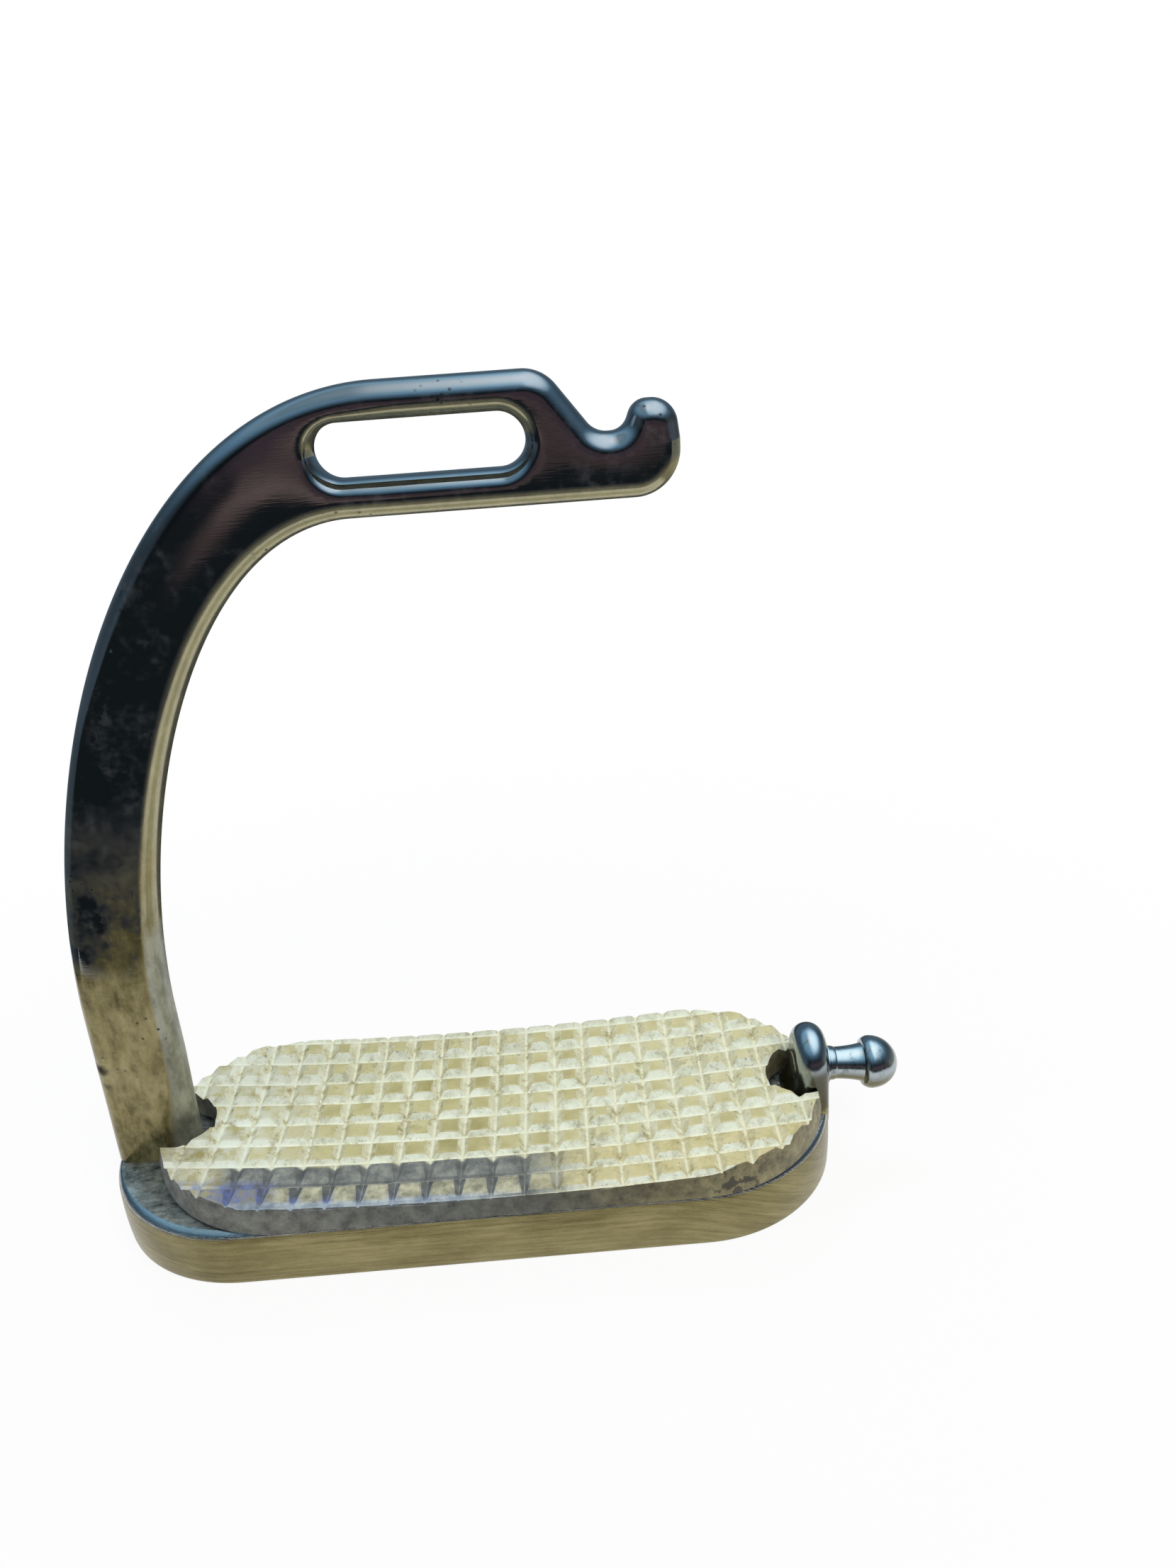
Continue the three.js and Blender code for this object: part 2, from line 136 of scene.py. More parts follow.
SWELL_ROUNDS = 1500

# The rubber tread. Its grooves run square to each other, a quarter inch apart.
PITCH = 6.35
GRID_X, GRID_Y = -46.4, -26.9  # a crossing of two grooves at its front left
GRID_TURN = math.radians(-0.52)  # how far it sits askew
FLANK = 0.79  # rise over run of a groove's sides
VALLEY_Z = 15.5
GROOVE_HALF_WIDTH = 0.13
GROOVE_ROUND = 0.04
TOP_STEPS = 4  # faces along each side of a pyramid's top
TREAD_MARGIN_X = 6.1
TREAD_MARGIN_Y = 0.9
TREAD_REACH = 28
TREAD_DRAFT = 1.7
TREAD_SKIRT = 1
TREAD_SHIFT_X = -1.2
TREAD_SHIFT_Y = -1.5
NOTCH_GAP = 4.5
NOTCH_SIDE = 0.6
PLUG_GAP = 0.3
PLUG_PROUD = 1
DISH_MIDDLE_X, DISH_REACH_X, DISH_RISE_X = 52.4, 60, 2.73  # along the grid
DISH_MIDDLE_Y, DISH_REACH_Y, DISH_RISE_Y = 25.4, 25, 1.66  # and across it
TREAD_SEAT = 0.02
LEFT_CURL_START, LEFT_CURL_RUN, LEFT_CURL = 36, 26, 1.35
RIGHT_CURL_START, RIGHT_CURL_RUN, RIGHT_CURL = 48, 24, 0.5

half_length = BASE_LENGTH / 2
half_depth = BASE_DEPTH / 2
base_top = BASE_HEIGHT
bar_bottom = HEIGHT - BAR_HEIGHT
foot_outer = -half_length
foot_inner = foot_outer + FOOT_WIDTH
lug_outer = half_length - LUG_INSET
lug_inner = lug_outer - LUG_THICKNESS
tread_x = (foot_inner + lug_inner) / 2 + TREAD_SHIFT_X
tread_half_length = half_length - TREAD_MARGIN_X
tread_half_depth = half_depth - TREAD_MARGIN_Y
slot_x = (half_length - END_BLOCK + RIB / 2) / 2


# The camera stands where the photograph was taken from.
PHOTO_HEIGHT = 2212
FOCAL_PIXELS = 1664
SENSOR_HEIGHT = 36
CAMERA_PLACE = Vector((25.2, -200.0, 183.1))
CAMERA_RIGHT = Vector((0.9967, -0.0489, -0.0640))
CAMERA_FORWARD = Vector((0.0174, 0.9066, -0.4216))
camera_data = bpy.data.cameras.new("camera")
camera_data.sensor_fit = "VERTICAL"
camera_data.sensor_height = SENSOR_HEIGHT
camera_data.lens = SENSOR_HEIGHT * FOCAL_PIXELS / PHOTO_HEIGHT
camera_data.clip_start = 0.01
camera = bpy.data.objects.new("camera", camera_data)
right = CAMERA_RIGHT.normalized()
forward = CAMERA_FORWARD.normalized()
up = right.cross(forward).normalized()
right = forward.cross(up)
camera.matrix_world = Matrix.Translation(CAMERA_PLACE * MM) @ Matrix(
    (right, up, -forward)
).transposed().to_4x4()
bpy.context.scene.collection.objects.link(camera)
bpy.context.scene.camera = camera


def shape(name, points, faces):
    """A mesh object from points in millimetres."""
    mesh = bpy.data.meshes.new(name)
    mesh.from_pydata([[c * MM for c in p] for p in points], [], faces)
    mesh.validate()
    item = bpy.data.objects.new(name, mesh)
    bpy.context.scene.collection.objects.link(item)
    return item


def put_back(item, work):
    """Turns the faces of an edited mesh outwards and gives it back to its object."""
    bmesh.ops.recalc_face_normals(work, faces=work.faces)
    work.to_mesh(item.data)
    work.free()


def face_out(item):
    """Turns all faces of a closed mesh outwards."""
    work = bmesh.new()
    work.from_mesh(item.data)
    bmesh.ops.remove_doubles(work, verts=work.verts, dist=1e-7)
    put_back(item, work)


def carve(item, other, operation):
    """Joins, cuts or intersects with another closed mesh, which is then dropped."""
    modifier = item.modifiers.new("carve", "BOOLEAN")
    modifier.operation = operation
    modifier.solver = "EXACT"
    modifier.object = other
    bpy.context.view_layer.update()
    graph = bpy.context.evaluated_depsgraph_get()
    done = bpy.data.meshes.new_from_object(item.evaluated_get(graph))
    item.modifiers.clear()
    item.data = done
    bpy.data.objects.remove(other)


def trim_below(item, z):
    """Cuts a mesh off level and closes it."""
    work = bmesh.new()
    work.from_mesh(item.data)
    bmesh.ops.remove_doubles(work, verts=work.verts, dist=2e-6)
    everything = work.verts[:] + work.edges[:] + work.faces[:]
    bmesh.ops.bisect_plane(
        work, geom=everything, dist=1e-7, plane_co=(0, 0, z * MM), plane_no=(0, 0, 1),
        clear_inner=True,
    )
    bmesh.ops.holes_fill(work, edges=[e for e in work.edges if e.is_boundary])
    put_back(item, work)


def shade(item, angle):
    """Smooth shading with edges kept crisp above an angle in degrees."""
    item.data.polygons.foreach_set("use_smooth", [True] * len(item.data.polygons))
    item.data.set_sharp_from_angle(angle=math.radians(angle))


def level_normals(item):
    """Keeps broad faces flat beside their roundings."""
    modifier = item.modifiers.new("level", "WEIGHTED_NORMAL")
    modifier.keep_sharp = True


def bands(start, count, rings):
    """Faces between rings of so many points each, which are numbered on from start."""
    faces = []
    for k in range(rings - 1):
        for i in range(count):
            a = start + k * count + i
            b = start + k * count + (i + 1) % count
            faces.append((a, b, b + count, a + count))
    return faces


def skin(rings, cap):
    """Points and faces of a closed skin over matching rings; cap gives a ring point's
    place on the end faces."""
    count = len(rings[0])
    points = [p for ring in rings for p in ring]
    faces = bands(0, count, len(rings))
    for k in (0, len(rings) - 1):
        outline = [Vector((*cap(p), 0)) for p in rings[k]]
        for triangle in geometry.tessellate_polygon([outline]):
            faces.append(tuple(k * count + i for i in triangle))
    return points, faces


def quarter(steps):
    """Angles through a quarter turn."""
    return [k / steps * math.pi / 2 for k in range(steps + 1)]


def oval(length, depth, reach, inset, steps, squareness=0):
    """A straight-sided outline with half-elliptic ends, drawn in by inset, and by
    less than that at the very ends where squareness is given."""
    outline = []
    for side in (1, -1):
        for k in range(steps + 1):
            turn = math.pi * (k / steps - 0.5)
            drawn = inset * (1 - squareness * math.cos(turn) ** 8)
            outline.append((
                side * (length - reach + (reach - drawn) * math.cos(turn)),
                side * (depth - drawn) * math.sin(turn),
            ))
    return outline


def oval_solid(name, length, depth, reach, levels, steps, squareness=0):
    """A closed solid through ovals, one at each level's height and drawn in so far."""
    rings = [
        [(x, y, z) for x, y in oval(length, depth, reach, inset, steps, squareness)]
        for z, inset in levels
    ]
    item = shape(name, *skin(rings, lambda p: p[:2]))
    face_out(item)
    return item


def box_solid(name, x0, x1, y0, y1, z0, z1):
    """A closed box."""
    rings = [[(x0, y0, z), (x1, y0, z), (x1, y1, z), (x0, y1, z)] for z in (z0, z1)]
    item = shape(name, *skin(rings, lambda p: p[:2]))
    face_out(item)
    return item


def shift(item, x, y, z):
    """Moves a mesh within its object."""
    item.data.transform(Matrix.Translation(Vector((x, y, z)) * MM))


def plug(name, side, gap, z0, z1):
    """What fills one of the base's two slots, with a gap all round."""
    radius = SLOT_WIDTH / 2 - gap
    item = oval_solid(name, SLOT_LENGTH / 2 - gap, radius, radius, [(z0, 0), (z1, 0)], 24)
    shift(item, side * slot_x, 0, 0)
    return item


def drop_repeats(outline):
    """Leaves out the points that lie on the one before."""
    return [p for i, p in enumerate(outline) if (p - outline[i - 1]).length > 0.01]


def arc(centre, radius, first, turn, steps):
    """Points round a circle, from a first angle through a turn."""
    angles = [first + turn * k / steps for k in range(steps + 1)]
    return [centre + radius * Vector((math.cos(a), math.sin(a))) for a in angles]


def curve(a, b, c, d, steps):
    """Points along a curve from a to d that is pulled towards b and c."""
    outline = []
    for k in range(steps + 1):
        t = k / steps
        s = 1 - t
        outline.append(s**3 * a + 3 * s * s * t * b + 3 * s * t * t * c + t**3 * d)
    return outline


def run(a, b, spacing):
    """Points along a straight line, about so far apart."""
    steps = max(1, round((b - a).length / spacing))
    return [a.lerp(b, k / steps) for k in range(steps + 1)]


def turn_corner(outline, corner, beyond, radius):
    """Runs on to a corner and rounds it."""
    into = (corner - outline[-1]).normalized()
    out = (beyond - corner).normalized()
    turn = math.atan2(into.x * out.y - into.y * out.x, into.dot(out))
    start = corner - into * radius * math.tan(abs(turn) / 2)
    side = math.copysign(1, turn)
    centre = start + side * radius * Vector((-into.y, into.x))
    outline.extend(run(outline[-1], start, 1.5))
    first = math.atan2(start.y - centre.y, start.x - centre.x)
    outline.extend(arc(centre, radius, first, turn, max(6, round(abs(turn) * radius / 0.45))))


def bow_outline():
    """The bow from the front, as x and z, from the inner side of its foot round the
    inside of the arm, the hook, the throat and the bar's top to the foot's outer side."""
    floor = bar_bottom + THROAT_FLOOR
    tip = bar_bottom + TIP_HEIGHT
    throat_left = THROAT_START + THROAT_SLOPE
    throat_right = throat_left + THROAT_WIDTH
    cut_end = base_top - 2 * NOSE  # what is below the base's top is cut off later
    corners = [
        (BAR_END, bar_bottom, HOOK_ROUND),
        (BAR_END, bar_bottom + HOOK_BEND, TIP_FAR_ROUND),
        (BAR_END - TIP_BACK, tip, TIP_FAR_ROUND),
        (throat_right + TIP_SLOPE, tip, TIP_ROUND),
        (throat_right, floor, THROAT_CORNER),
        (throat_left, floor, THROAT_ROUND),
        (THROAT_START, HEIGHT, SHOULDER_ROUND),
        (OUTER_END, HEIGHT, 0),
    ]
    inner_top = base_top + INNER_LEG
    outer_top = base_top + OUTER_LEG
    inner_pull = Vector((INNER_LEAN, INNER_LEG)).normalized() * INNER_RISE
    outer_pull = Vector((OUTER_LEAN, OUTER_LEG)).normalized() * OUTER_RISE
    flare_x = foot_inner + FOOT_FLARE
    outline = run(Vector((flare_x, cut_end)), Vector((flare_x, base_top)), 2)
    for k in range(1, 9):
        t = k / 8
        outline.append(Vector((
            foot_inner + FOOT_FLARE * (1 - t) ** 2, base_top + FOOT_FLARE_RISE * t,
        )))
    start = Vector((foot_inner + INNER_LEAN, inner_top))
    outline.extend(run(outline[-1], start, 1.2))
    end = Vector((INNER_END, bar_bottom))
    outline.extend(curve(start, start + inner_pull, end - Vector((INNER_RUN, 0)), end, 80))
    for here, beyond in zip(corners, corners[1:]):
        turn_corner(outline, Vector(here[:2]), Vector(beyond[:2]), here[2])
    start = Vector((OUTER_END, HEIGHT))
    outline.extend(run(outline[-1], start, 1.5))
    end = Vector((foot_outer + OUTER_LEAN, outer_top))
    outline.extend(curve(start, start - Vector((OUTER_RUN, 0)), end + outer_pull, end, 90))
    outline.extend(run(end, Vector((foot_outer, base_top)), 1.5))
    outline.extend(run(outline[-1], Vector((foot_outer, cut_end)), 2))
    return drop_repeats(outline)


def eye_outline():
    """The eye from the front, the other way round than the bow's outline."""
    radius = EYE_HEIGHT / 2
    middle = bar_bottom + EYE_SILL + radius
    flank = EYE_LENGTH / 2 - radius
    outline = arc(Vector((EYE_X - flank, middle)), radius, -math.pi / 2, -math.pi, 32)
    outline.extend(run(outline[-1], Vector((EYE_X + flank, middle + radius)), 1.2))
    outline.extend(arc(Vector((EYE_X + flank, middle)), radius, math.pi / 2, -math.pi, 32))
    outline.extend(run(outline[-1], Vector((EYE_X - flank, middle - radius)), 1.2))
    return drop_repeats(outline)


def into_metal(outline):
    """The direction into the metal at each point, the metal being on the left."""
    normals = []
    for i, p in enumerate(outline):
        before, after = outline[i - 1], outline[(i + 1) % len(outline)]
        along = ((p - before).normalized() + (after - p).normalized()).normalized()
        normals.append(Vector((-along.y, along.x)))
    return normals


def nose_share(p):
    """How far the foot's long nose has come on, from 0 well up the leg to 1."""
    if not (foot_outer + foot_inner) / 2 < p.x < foot_inner + NOSE:
        return 0
    share = min(1, max(0, (base_top + NOSE_RISE - p.y) / NOSE_RISE))
    return share * share * (3 - 2 * share)


ROUND_STEPS = 10


def plate_rings(outline, depth, edge):
    """Rings over a plate's rounded edge, from its front face to its back face. edge
    gives how far in the rounding reaches, how far it falls, and how flat it is cut."""
    normals = into_metal(outline)
    rings = []
    for side in (-1, 1):
        for turn in quarter(ROUND_STEPS)[::side]:
            ring = []
            for p, normal in zip(outline, normals):
                reach, fall, cut = edge(p)
                inset = reach * (1 - math.cos(turn) ** cut)
                y = side * (depth / 2 - fall + fall * math.sin(turn) ** cut)
                q = p + normal * inset
                ring.append((q.x, y, q.y))
            rings.append(ring)
    return rings


def crossings(outlines, z):
    """Where a level line cuts across a face's outlines."""
    cuts = []
    for outline in outlines:
        beyond = np.roll(outline, -1, 0)
        crosses = (outline[:, 1] > z) != (beyond[:, 1] > z)
        here, there = outline[crosses], beyond[crosses]
        along = there - here
        cuts.extend(here[:, 0] + (z - here[:, 1]) * along[:, 0] / along[:, 1])
    return np.array(cuts)


def swollen_cap(loops, sign):
    """Fills a face of a plate with small triangles and swells it like a cushion."""
    outlines = [np.array([[x, z] for x, _, z in loop]) for loop in loops]
    rim = [Vector((x, z)) for loop in loops for x, _, z in loop]
    edges = []
    for loop in loops:
        start, count = len(edges), len(loop)
        edges.extend((start + i, start + (i + 1) % count) for i in range(count))
    # points in rows, set for triangles with equal sides
    all_rim = np.concatenate(outlines)
    low, high = outlines[0].min(0), outlines[0].max(0)
    inside = []
    for row in range(int((high[1] - low[1]) / (CAP_SPACING * ROW_SHARE)) + 2):
        z = low[1] + row * CAP_SPACING * ROW_SHARE
        xs = np.arange(low[0] + (row % 2) * CAP_SPACING / 2, high[0], CAP_SPACING)
        for x in xs[(crossings(outlines, z)[None, :] > xs[:, None]).sum(1) % 2 == 1]:
            if np.hypot(all_rim[:, 0] - x, all_rim[:, 1] - z).min() > CAP_SPACING * RIM_SHARE:
                inside.append(Vector((x, z)))
    found, _, faces, origins, *_ = geometry.delaunay_2d_cdt(rim + inside, edges, [], 0, 1e-6)
    flat = np.array([[p.x, p.y] for p in found])
    kept = []
    for face in faces:
        x, z = flat[list(face)].mean(0)
        if (crossings(outlines, z) > x).sum() % 2 == 1:
            kept.append(tuple(face))
    # each point rises above the average of those round it, but the rim stays put
    pairs = {tuple(sorted((f[i], f[i - 1]))) for f in kept for i in range(3)}
    pairs = np.array(sorted(pairs))
    count = len(found)
    fixed = np.array([bool(source) and min(source) < len(rim) for source in origins])
    degree = np.bincount(pairs.ravel(), minlength=count).astype(float)
    degree[degree == 0] = 1
    span = ((flat[pairs[:, 0]] - flat[pairs[:, 1]]) ** 2).sum(1)
    push = np.bincount(pairs[:, 0], span, count) + np.bincount(pairs[:, 1], span, count)
    push = CROWN * push / (4 * degree)
    rise = np.zeros(count)
    for _ in range(SWELL_ROUNDS):
        around = np.bincount(pairs[:, 0], rise[pairs[:, 1]], count)
        around += np.bincount(pairs[:, 1], rise[pairs[:, 0]], count)
        rise = np.where(fixed, 0, around / degree + push)
    level = loops[0][0][1]
    points = [(x, level + sign * swell, z) for (x, z), swell in zip(flat, rise)]
    return points, kept


def make_bow():
    """The forging: the outline with the eye through it, wide soft edges, a long nose
    worn off its foot, and front and back faces that swell a little."""
    def edge(p):
        """The wide soft edge, which turns into the nose low on the foot's inner side."""
        share = nose_share(p)
        reach = BOW_ROUND + (NOSE - BOW_ROUND) * share
        fall = BOW_FALL + (BOW_DEPTH / 2 - NOSE_FLAT - BOW_FALL) * share
        return reach, fall, 1 + NOSE_CUT * share

    pinch = Vector((EYE_X - EYE_LENGTH / 2 + EYE_HEIGHT / 4, bar_bottom + EYE_SILL + EYE_HEIGHT))

    def eye_edge(p):
        """The eye's rounding, which is narrower at its upper left."""
        rounding = EYE_ROUND - EYE_PINCH * max(0, 1 - (p - pinch).length / EYE_PINCH_REACH)
        return rounding, EYE_FALL, 1

    loops = [
        plate_rings(bow_outline(), BOW_DEPTH, edge),
        plate_rings(eye_outline(), BOW_DEPTH, eye_edge),
    ]
    points, faces = [], []
    for rings in loops:
        faces.extend(bands(len(points), len(rings[0]), len(rings)))
        points.extend(p for ring in rings for p in ring)
    for k, sign in ((0, -1), (-1, 1)):
        more, triangles = swollen_cap([rings[k] for rings in loops], sign)
        start = len(points)
        points.extend(more)
        faces.extend(tuple(start + i for i in triangle) for triangle in triangles)
    item = shape("bow_forging", points, faces)
    trim_below(item, base_top)
    shade(item, 40)
    return item


def make_lug():
    """A round-topped plate that flares out towards its root, sunk into the base."""
    radius = LUG_WIDTH / 2
    centre = base_top + LUG_HEIGHT - radius
    root = base_top - LUG_SUNK
    foot = root - 3 * LUG_ROUND  # what is below the root is cut off later
    outline = run(Vector((-radius, foot)), Vector((radius, foot)), 1.5)
    outline.extend(run(outline[-1], Vector((radius, centre)), 0.8))
    outline.extend(arc(Vector((0, centre)), radius, 0, math.pi, 48))
    outline.extend(run(outline[-1], Vector((-radius, foot)), 0.8))
    rings = plate_rings(drop_repeats(outline), LUG_THICKNESS, lambda p: (LUG_ROUND, LUG_ROUND, 1))
    # turned to stand across the base, and flared at its root on the inner side
    middle = lug_outer - LUG_THICKNESS / 2
    flared = []
    for ring in rings:
        row = []
        for y, x, z in ring:
            x = -x
            share = max(0, 1 - max(0, z - base_top) / LUG_FLARE_RISE) ** 2
            if x < 0:
                x -= LUG_FLARE * share
            row.append((x + middle, y * (1 + LUG_SPREAD * share), z))
        flared.append(row)
    item = shape("lug", *skin(flared, lambda p: (p[1], p[2])))
    trim_below(item, root)
    return item


def make_base():
    """The casting: a rounded sole, slightly bulging walls and a rounded top edge, two
    bays hollowed out underneath with a rib between, two slots, and the lug."""
    levels = []
    for turn in quarter(4):
        levels.append((SOLE_ROUND * (1 - math.cos(turn)), SOLE_ROUND * (1 - math.sin(turn))))
    wall_foot, wall_head = SOLE_ROUND, base_top - BASE_ROUND
    for k in range(1, 6):
        t = k / 6
        levels.append((wall_foot + (wall_head - wall_foot) * t, -WALL_BULGE * 4 * t * (1 - t)))
    for turn in quarter(8):
        levels.append((
            wall_head + BASE_ROUND * math.sin(turn), BASE_ROUND * (1 - math.cos(turn)),
        ))
    levels = [(z, inset + WALL_BULGE) for z, inset in levels]
    item = oval_solid(
        "base_casting", half_length, half_depth, END_REACH, levels, 72, END_SQUARENESS,
    )
    # whatever cuts runs on past the casting, so that no two faces lie in one plane
    for side in (-1, 1):
        bay = oval_solid(
            "bay", half_length, half_depth, END_REACH, [(-9, RIM), (base_top - WEB, RIM)], 48,
        )
        left, right = sorted((side * RIB / 2, side * (half_length - END_BLOCK)))
        carve(bay, box_solid("cut", left, right, -half_depth, half_depth, -5, 20), "INTERSECT")
        carve(item, bay, "DIFFERENCE")
        carve(item, plug("slot", side, 0, -5, base_top + 5), "DIFFERENCE")
    carve(item, make_lug(), "UNION")
    shade(item, 32)
    level_normals(item)
    return item


def stud_profile():
    """The stud's radius at distances out from the lug's face: the shank's domed end, a
    collar, the crease, the neck, a groove, the head's back and its domed front."""
    profile = [(0, -LUG_THICKNESS - SHANK_DOME)]
    for turn in quarter(6)[1:]:
        profile.append((
            SHANK_RADIUS * math.sin(turn), -LUG_THICKNESS - SHANK_DOME * math.cos(turn),
        ))
    profile.append((SHANK_RADIUS, -2 * COLLAR_SUNK))
    profile.append((NECK_RADIUS + COLLAR, -COLLAR_SUNK))
    profile.append((NECK_RADIUS + COLLAR, COLLAR_PROUD))
    profile.append((NECK_RADIUS - CREASE, CREASE_RISE))
    root = NECK_RADIUS - CREASE - NECK_ROOT_RADIUS
    for turn in quarter(6)[1:]:
        profile.append((
            NECK_ROOT_RADIUS + root * math.cos(turn), CREASE_RISE + NECK_ROOT_RISE * math.sin(turn),
        ))
    # the neck widens towards a fine groove under the head
    root_end = CREASE_RISE + NECK_ROOT_RISE
    neck_end = NECK_LENGTH - 0.35
    for k in range(1, 7):
        t = k / 6
        profile.append((
            NECK_ROOT_RADIUS + (NECK_RADIUS - NECK_ROOT_RADIUS) * t * t,
            root_end + (neck_end - root_end) * t,
        ))
    groove = NECK_RADIUS + 0.1
    profile.append((groove, NECK_LENGTH - 0.1))
    profile.append((groove + 0.5, NECK_LENGTH + 0.02))
    widest = NECK_LENGTH + HEAD_BACK
    back = HEAD_BACK * 0.97 / math.sin(HEAD_BACK_TURN)
    for k in range(1, 13):
        turn = (k / 12 - 1) * HEAD_BACK_TURN
        profile.append((
            HEAD_RADIUS - HEAD_BACK * (1 - math.cos(turn)), widest + back * math.sin(turn),
        ))
    for turn in quarter(16)[1:-1]:
        profile.append((
            HEAD_RADIUS * math.cos(turn), widest + (HEAD_LENGTH - HEAD_BACK) * math.sin(turn),
        ))
    profile.append((0, NECK_LENGTH + HEAD_LENGTH))
    return profile


def make_stud():
    """The stud, turned on its own axis and then set in the lug with a slight lean."""
    sides = 64
    profile = stud_profile()
    points = []
    for radius, x in profile[1:-1]:
        for i in range(sides):
            turn = 2 * math.pi * i / sides
            points.append((x, radius * math.cos(turn), radius * math.sin(turn)))
    rings = len(profile) - 2
    faces = bands(0, sides, rings)
    for k, (_, x) in ((0, profile[0]), (rings - 1, profile[-1])):
        tip = len(points)
        points.append((x, 0, 0))
        faces.extend((tip, k * sides + i, k * sides + (i + 1) % sides) for i in range(sides))
    item = shape("ring_stud_turning", points, faces)
    face_out(item)
    place = Matrix.Translation(Vector((lug_outer, 0, base_top + STUD_RISE)) * MM)
    item.data.transform(place @ Matrix.Rotation(math.radians(STUD_LEAN), 4, "Y"))
    shade(item, 35)
    return item


def tread_height(i, j):
    """Height of the worn top of the pyramid in column i and row j above the grooves,
    and how much it falls towards the front over a whole pitch. The front rows are the
    most worn, and from the ninth column on they are fresher."""
    fresh = min(1, max(0, (i - 8) / 3))
    if j <= 0:
        return 0.78 + 0.32 * fresh, 0.95 - 0.65 * fresh
    if j == 1:
        return 0.85 + 0.35 * fresh, 1.0 - 0.75 * fresh
    by_row = {2: 0.95, 3: 1.0, 4: 1.06, 5: 1.14, 6: 1.24, 7: 1.34}
    height = by_row.get(j, 1.36)
    return height + (1.32 - height) * fresh, 0.05


def add_pyramid(points, faces, i, j, dice):
    """Adds the pyramid in column i and row j: rings up its flanks, a rounded shoulder
    and a slightly dented top."""
    height, slant = tread_height(i, j)
    height *= dice.uniform(0.93, 1.07)
    slope = slant / PITCH
    half = PITCH / 2
    peak = FLANK * half
    front = (peak - height) / (FLANK - slope)
    back = (peak - height) / (FLANK + slope)
    middle = Vector(((i + 0.5) * PITCH, (j + 0.5) * PITCH, 0))

    def corners(front_x, back_x, front_z, back_z):
        """Four corners round the pyramid's middle, front left first."""
        return [middle + Vector(p) for p in (
            (-front_x, -front_x, front_z), (front_x, -front_x, front_z),
            (back_x, back_x, back_z), (-back_x, back_x, back_z),
        )]

    lip = half - GROOVE_HALF_WIDTH
    foot = corners(lip, lip, GROOVE_ROUND, GROOVE_ROUND)
    shoulder = corners(front, back, height - slope * front, height + slope * back)
    # the shoulder itself is worn off between a ring just under it and one just inside it
    under = [a.lerp(b, 0.93) for a, b in zip(foot, shoulder)]
    halfway = [a.lerp(b, 0.5) for a, b in zip(foot, under)]
    centre = middle + Vector((0, 0, height))
    inner = [s.lerp(centre, 0.09) + Vector((0, 0, 0.012)) for s in shoulder]
    rounded = [a.lerp(b, 0.55) + Vector((0, 0, -0.02)) for a, b in zip(under, inner)]
    start = len(points)
    count = 4 * TOP_STEPS
    levels = (corners(half, half, 0, 0), foot, halfway, under, rounded, inner)
    for level in levels:
        for c in range(4):
            a, b = level[c], level[(c + 1) % 4]
            points.extend(a.lerp(b, k / TOP_STEPS) for k in range(TOP_STEPS))
    faces.extend(bands(start, count, len(levels)))
    # the top is a grid of points, whose edge is the last ring
    rim = range(len(points) - count, len(points))
    grid = {}
    for n in range(TOP_STEPS + 1):
        grid[n, 0] = rim[n]
        grid[TOP_STEPS, n] = rim[TOP_STEPS + n]
        grid[TOP_STEPS - n, TOP_STEPS] = rim[2 * TOP_STEPS + n]
        grid[0, TOP_STEPS - n] = rim[(3 * TOP_STEPS + n) % count]
    for a in range(1, TOP_STEPS):
        for b in range(1, TOP_STEPS):
            s, t = a / TOP_STEPS, b / TOP_STEPS
            low, high = inner[0].lerp(inner[1], s), inner[3].lerp(inner[2], s)
            dent = dice.uniform(-0.03, 0.02)
            grid[a, b] = len(points)
            points.append(low.lerp(high, t) + Vector((0, 0, dent)))
    for a in range(TOP_STEPS):
        for b in range(TOP_STEPS):
            faces.append((grid[a, b], grid[a + 1, b], grid[a + 1, b + 1], grid[a, b + 1]))


def lift_of(x):
    """How far the tread's underside stands off the base: its ends have curled up."""
    left = max(0, (-x - LEFT_CURL_START) / LEFT_CURL_RUN)
    right = max(0, (x - RIGHT_CURL_START) / RIGHT_CURL_RUN)
    return TREAD_SEAT + LEFT_CURL * left**1.6 + RIGHT_CURL * right**1.5


def bend_tread(slab):
    """Dishes the tread, curls its ends up and makes its surface a little uneven."""
    work = bmesh.new()
    work.from_mesh(slab.data)
    long_edges = [e for e in work.edges if e.calc_length() > 1.6 * MM]
    bmesh.ops.subdivide_edges(work, edges=long_edges, cuts=2)
    bmesh.ops.triangulate(work, faces=[f for f in work.faces if len(f.verts) > 4])
    turn = Matrix.Rotation(-GRID_TURN, 2)
    for vert in work.verts:
        x, y, z = (c / MM for c in vert.co)
        along, across = turn @ Vector((x - GRID_X, y - GRID_Y))
        u = (along - DISH_MIDDLE_X) / DISH_REACH_X
        v = (across - DISH_MIDDLE_Y) / DISH_REACH_Y
        dish = DISH_RISE_X * u * u + DISH_RISE_Y * v * v
        lift = lift_of(x)
        share = min(1, max(0, (z - base_top) / (VALLEY_Z - base_top)))
        place = Vector((x, y, z))
        wander = noise.noise(place * 0.35) * 0.07 + noise.noise(place * 1.3) * 0.03
        vert.co.z = (z + lift + share * (dish - lift) + wander * share) * MM
        side_wander = noise.noise(Vector((x + 40, y, z)) * 0.25) * 0.12
        vert.co.y += side_wander * share * MM
        vert.co.x += side_wander * share * MM * 0.6
    put_back(slab, work)


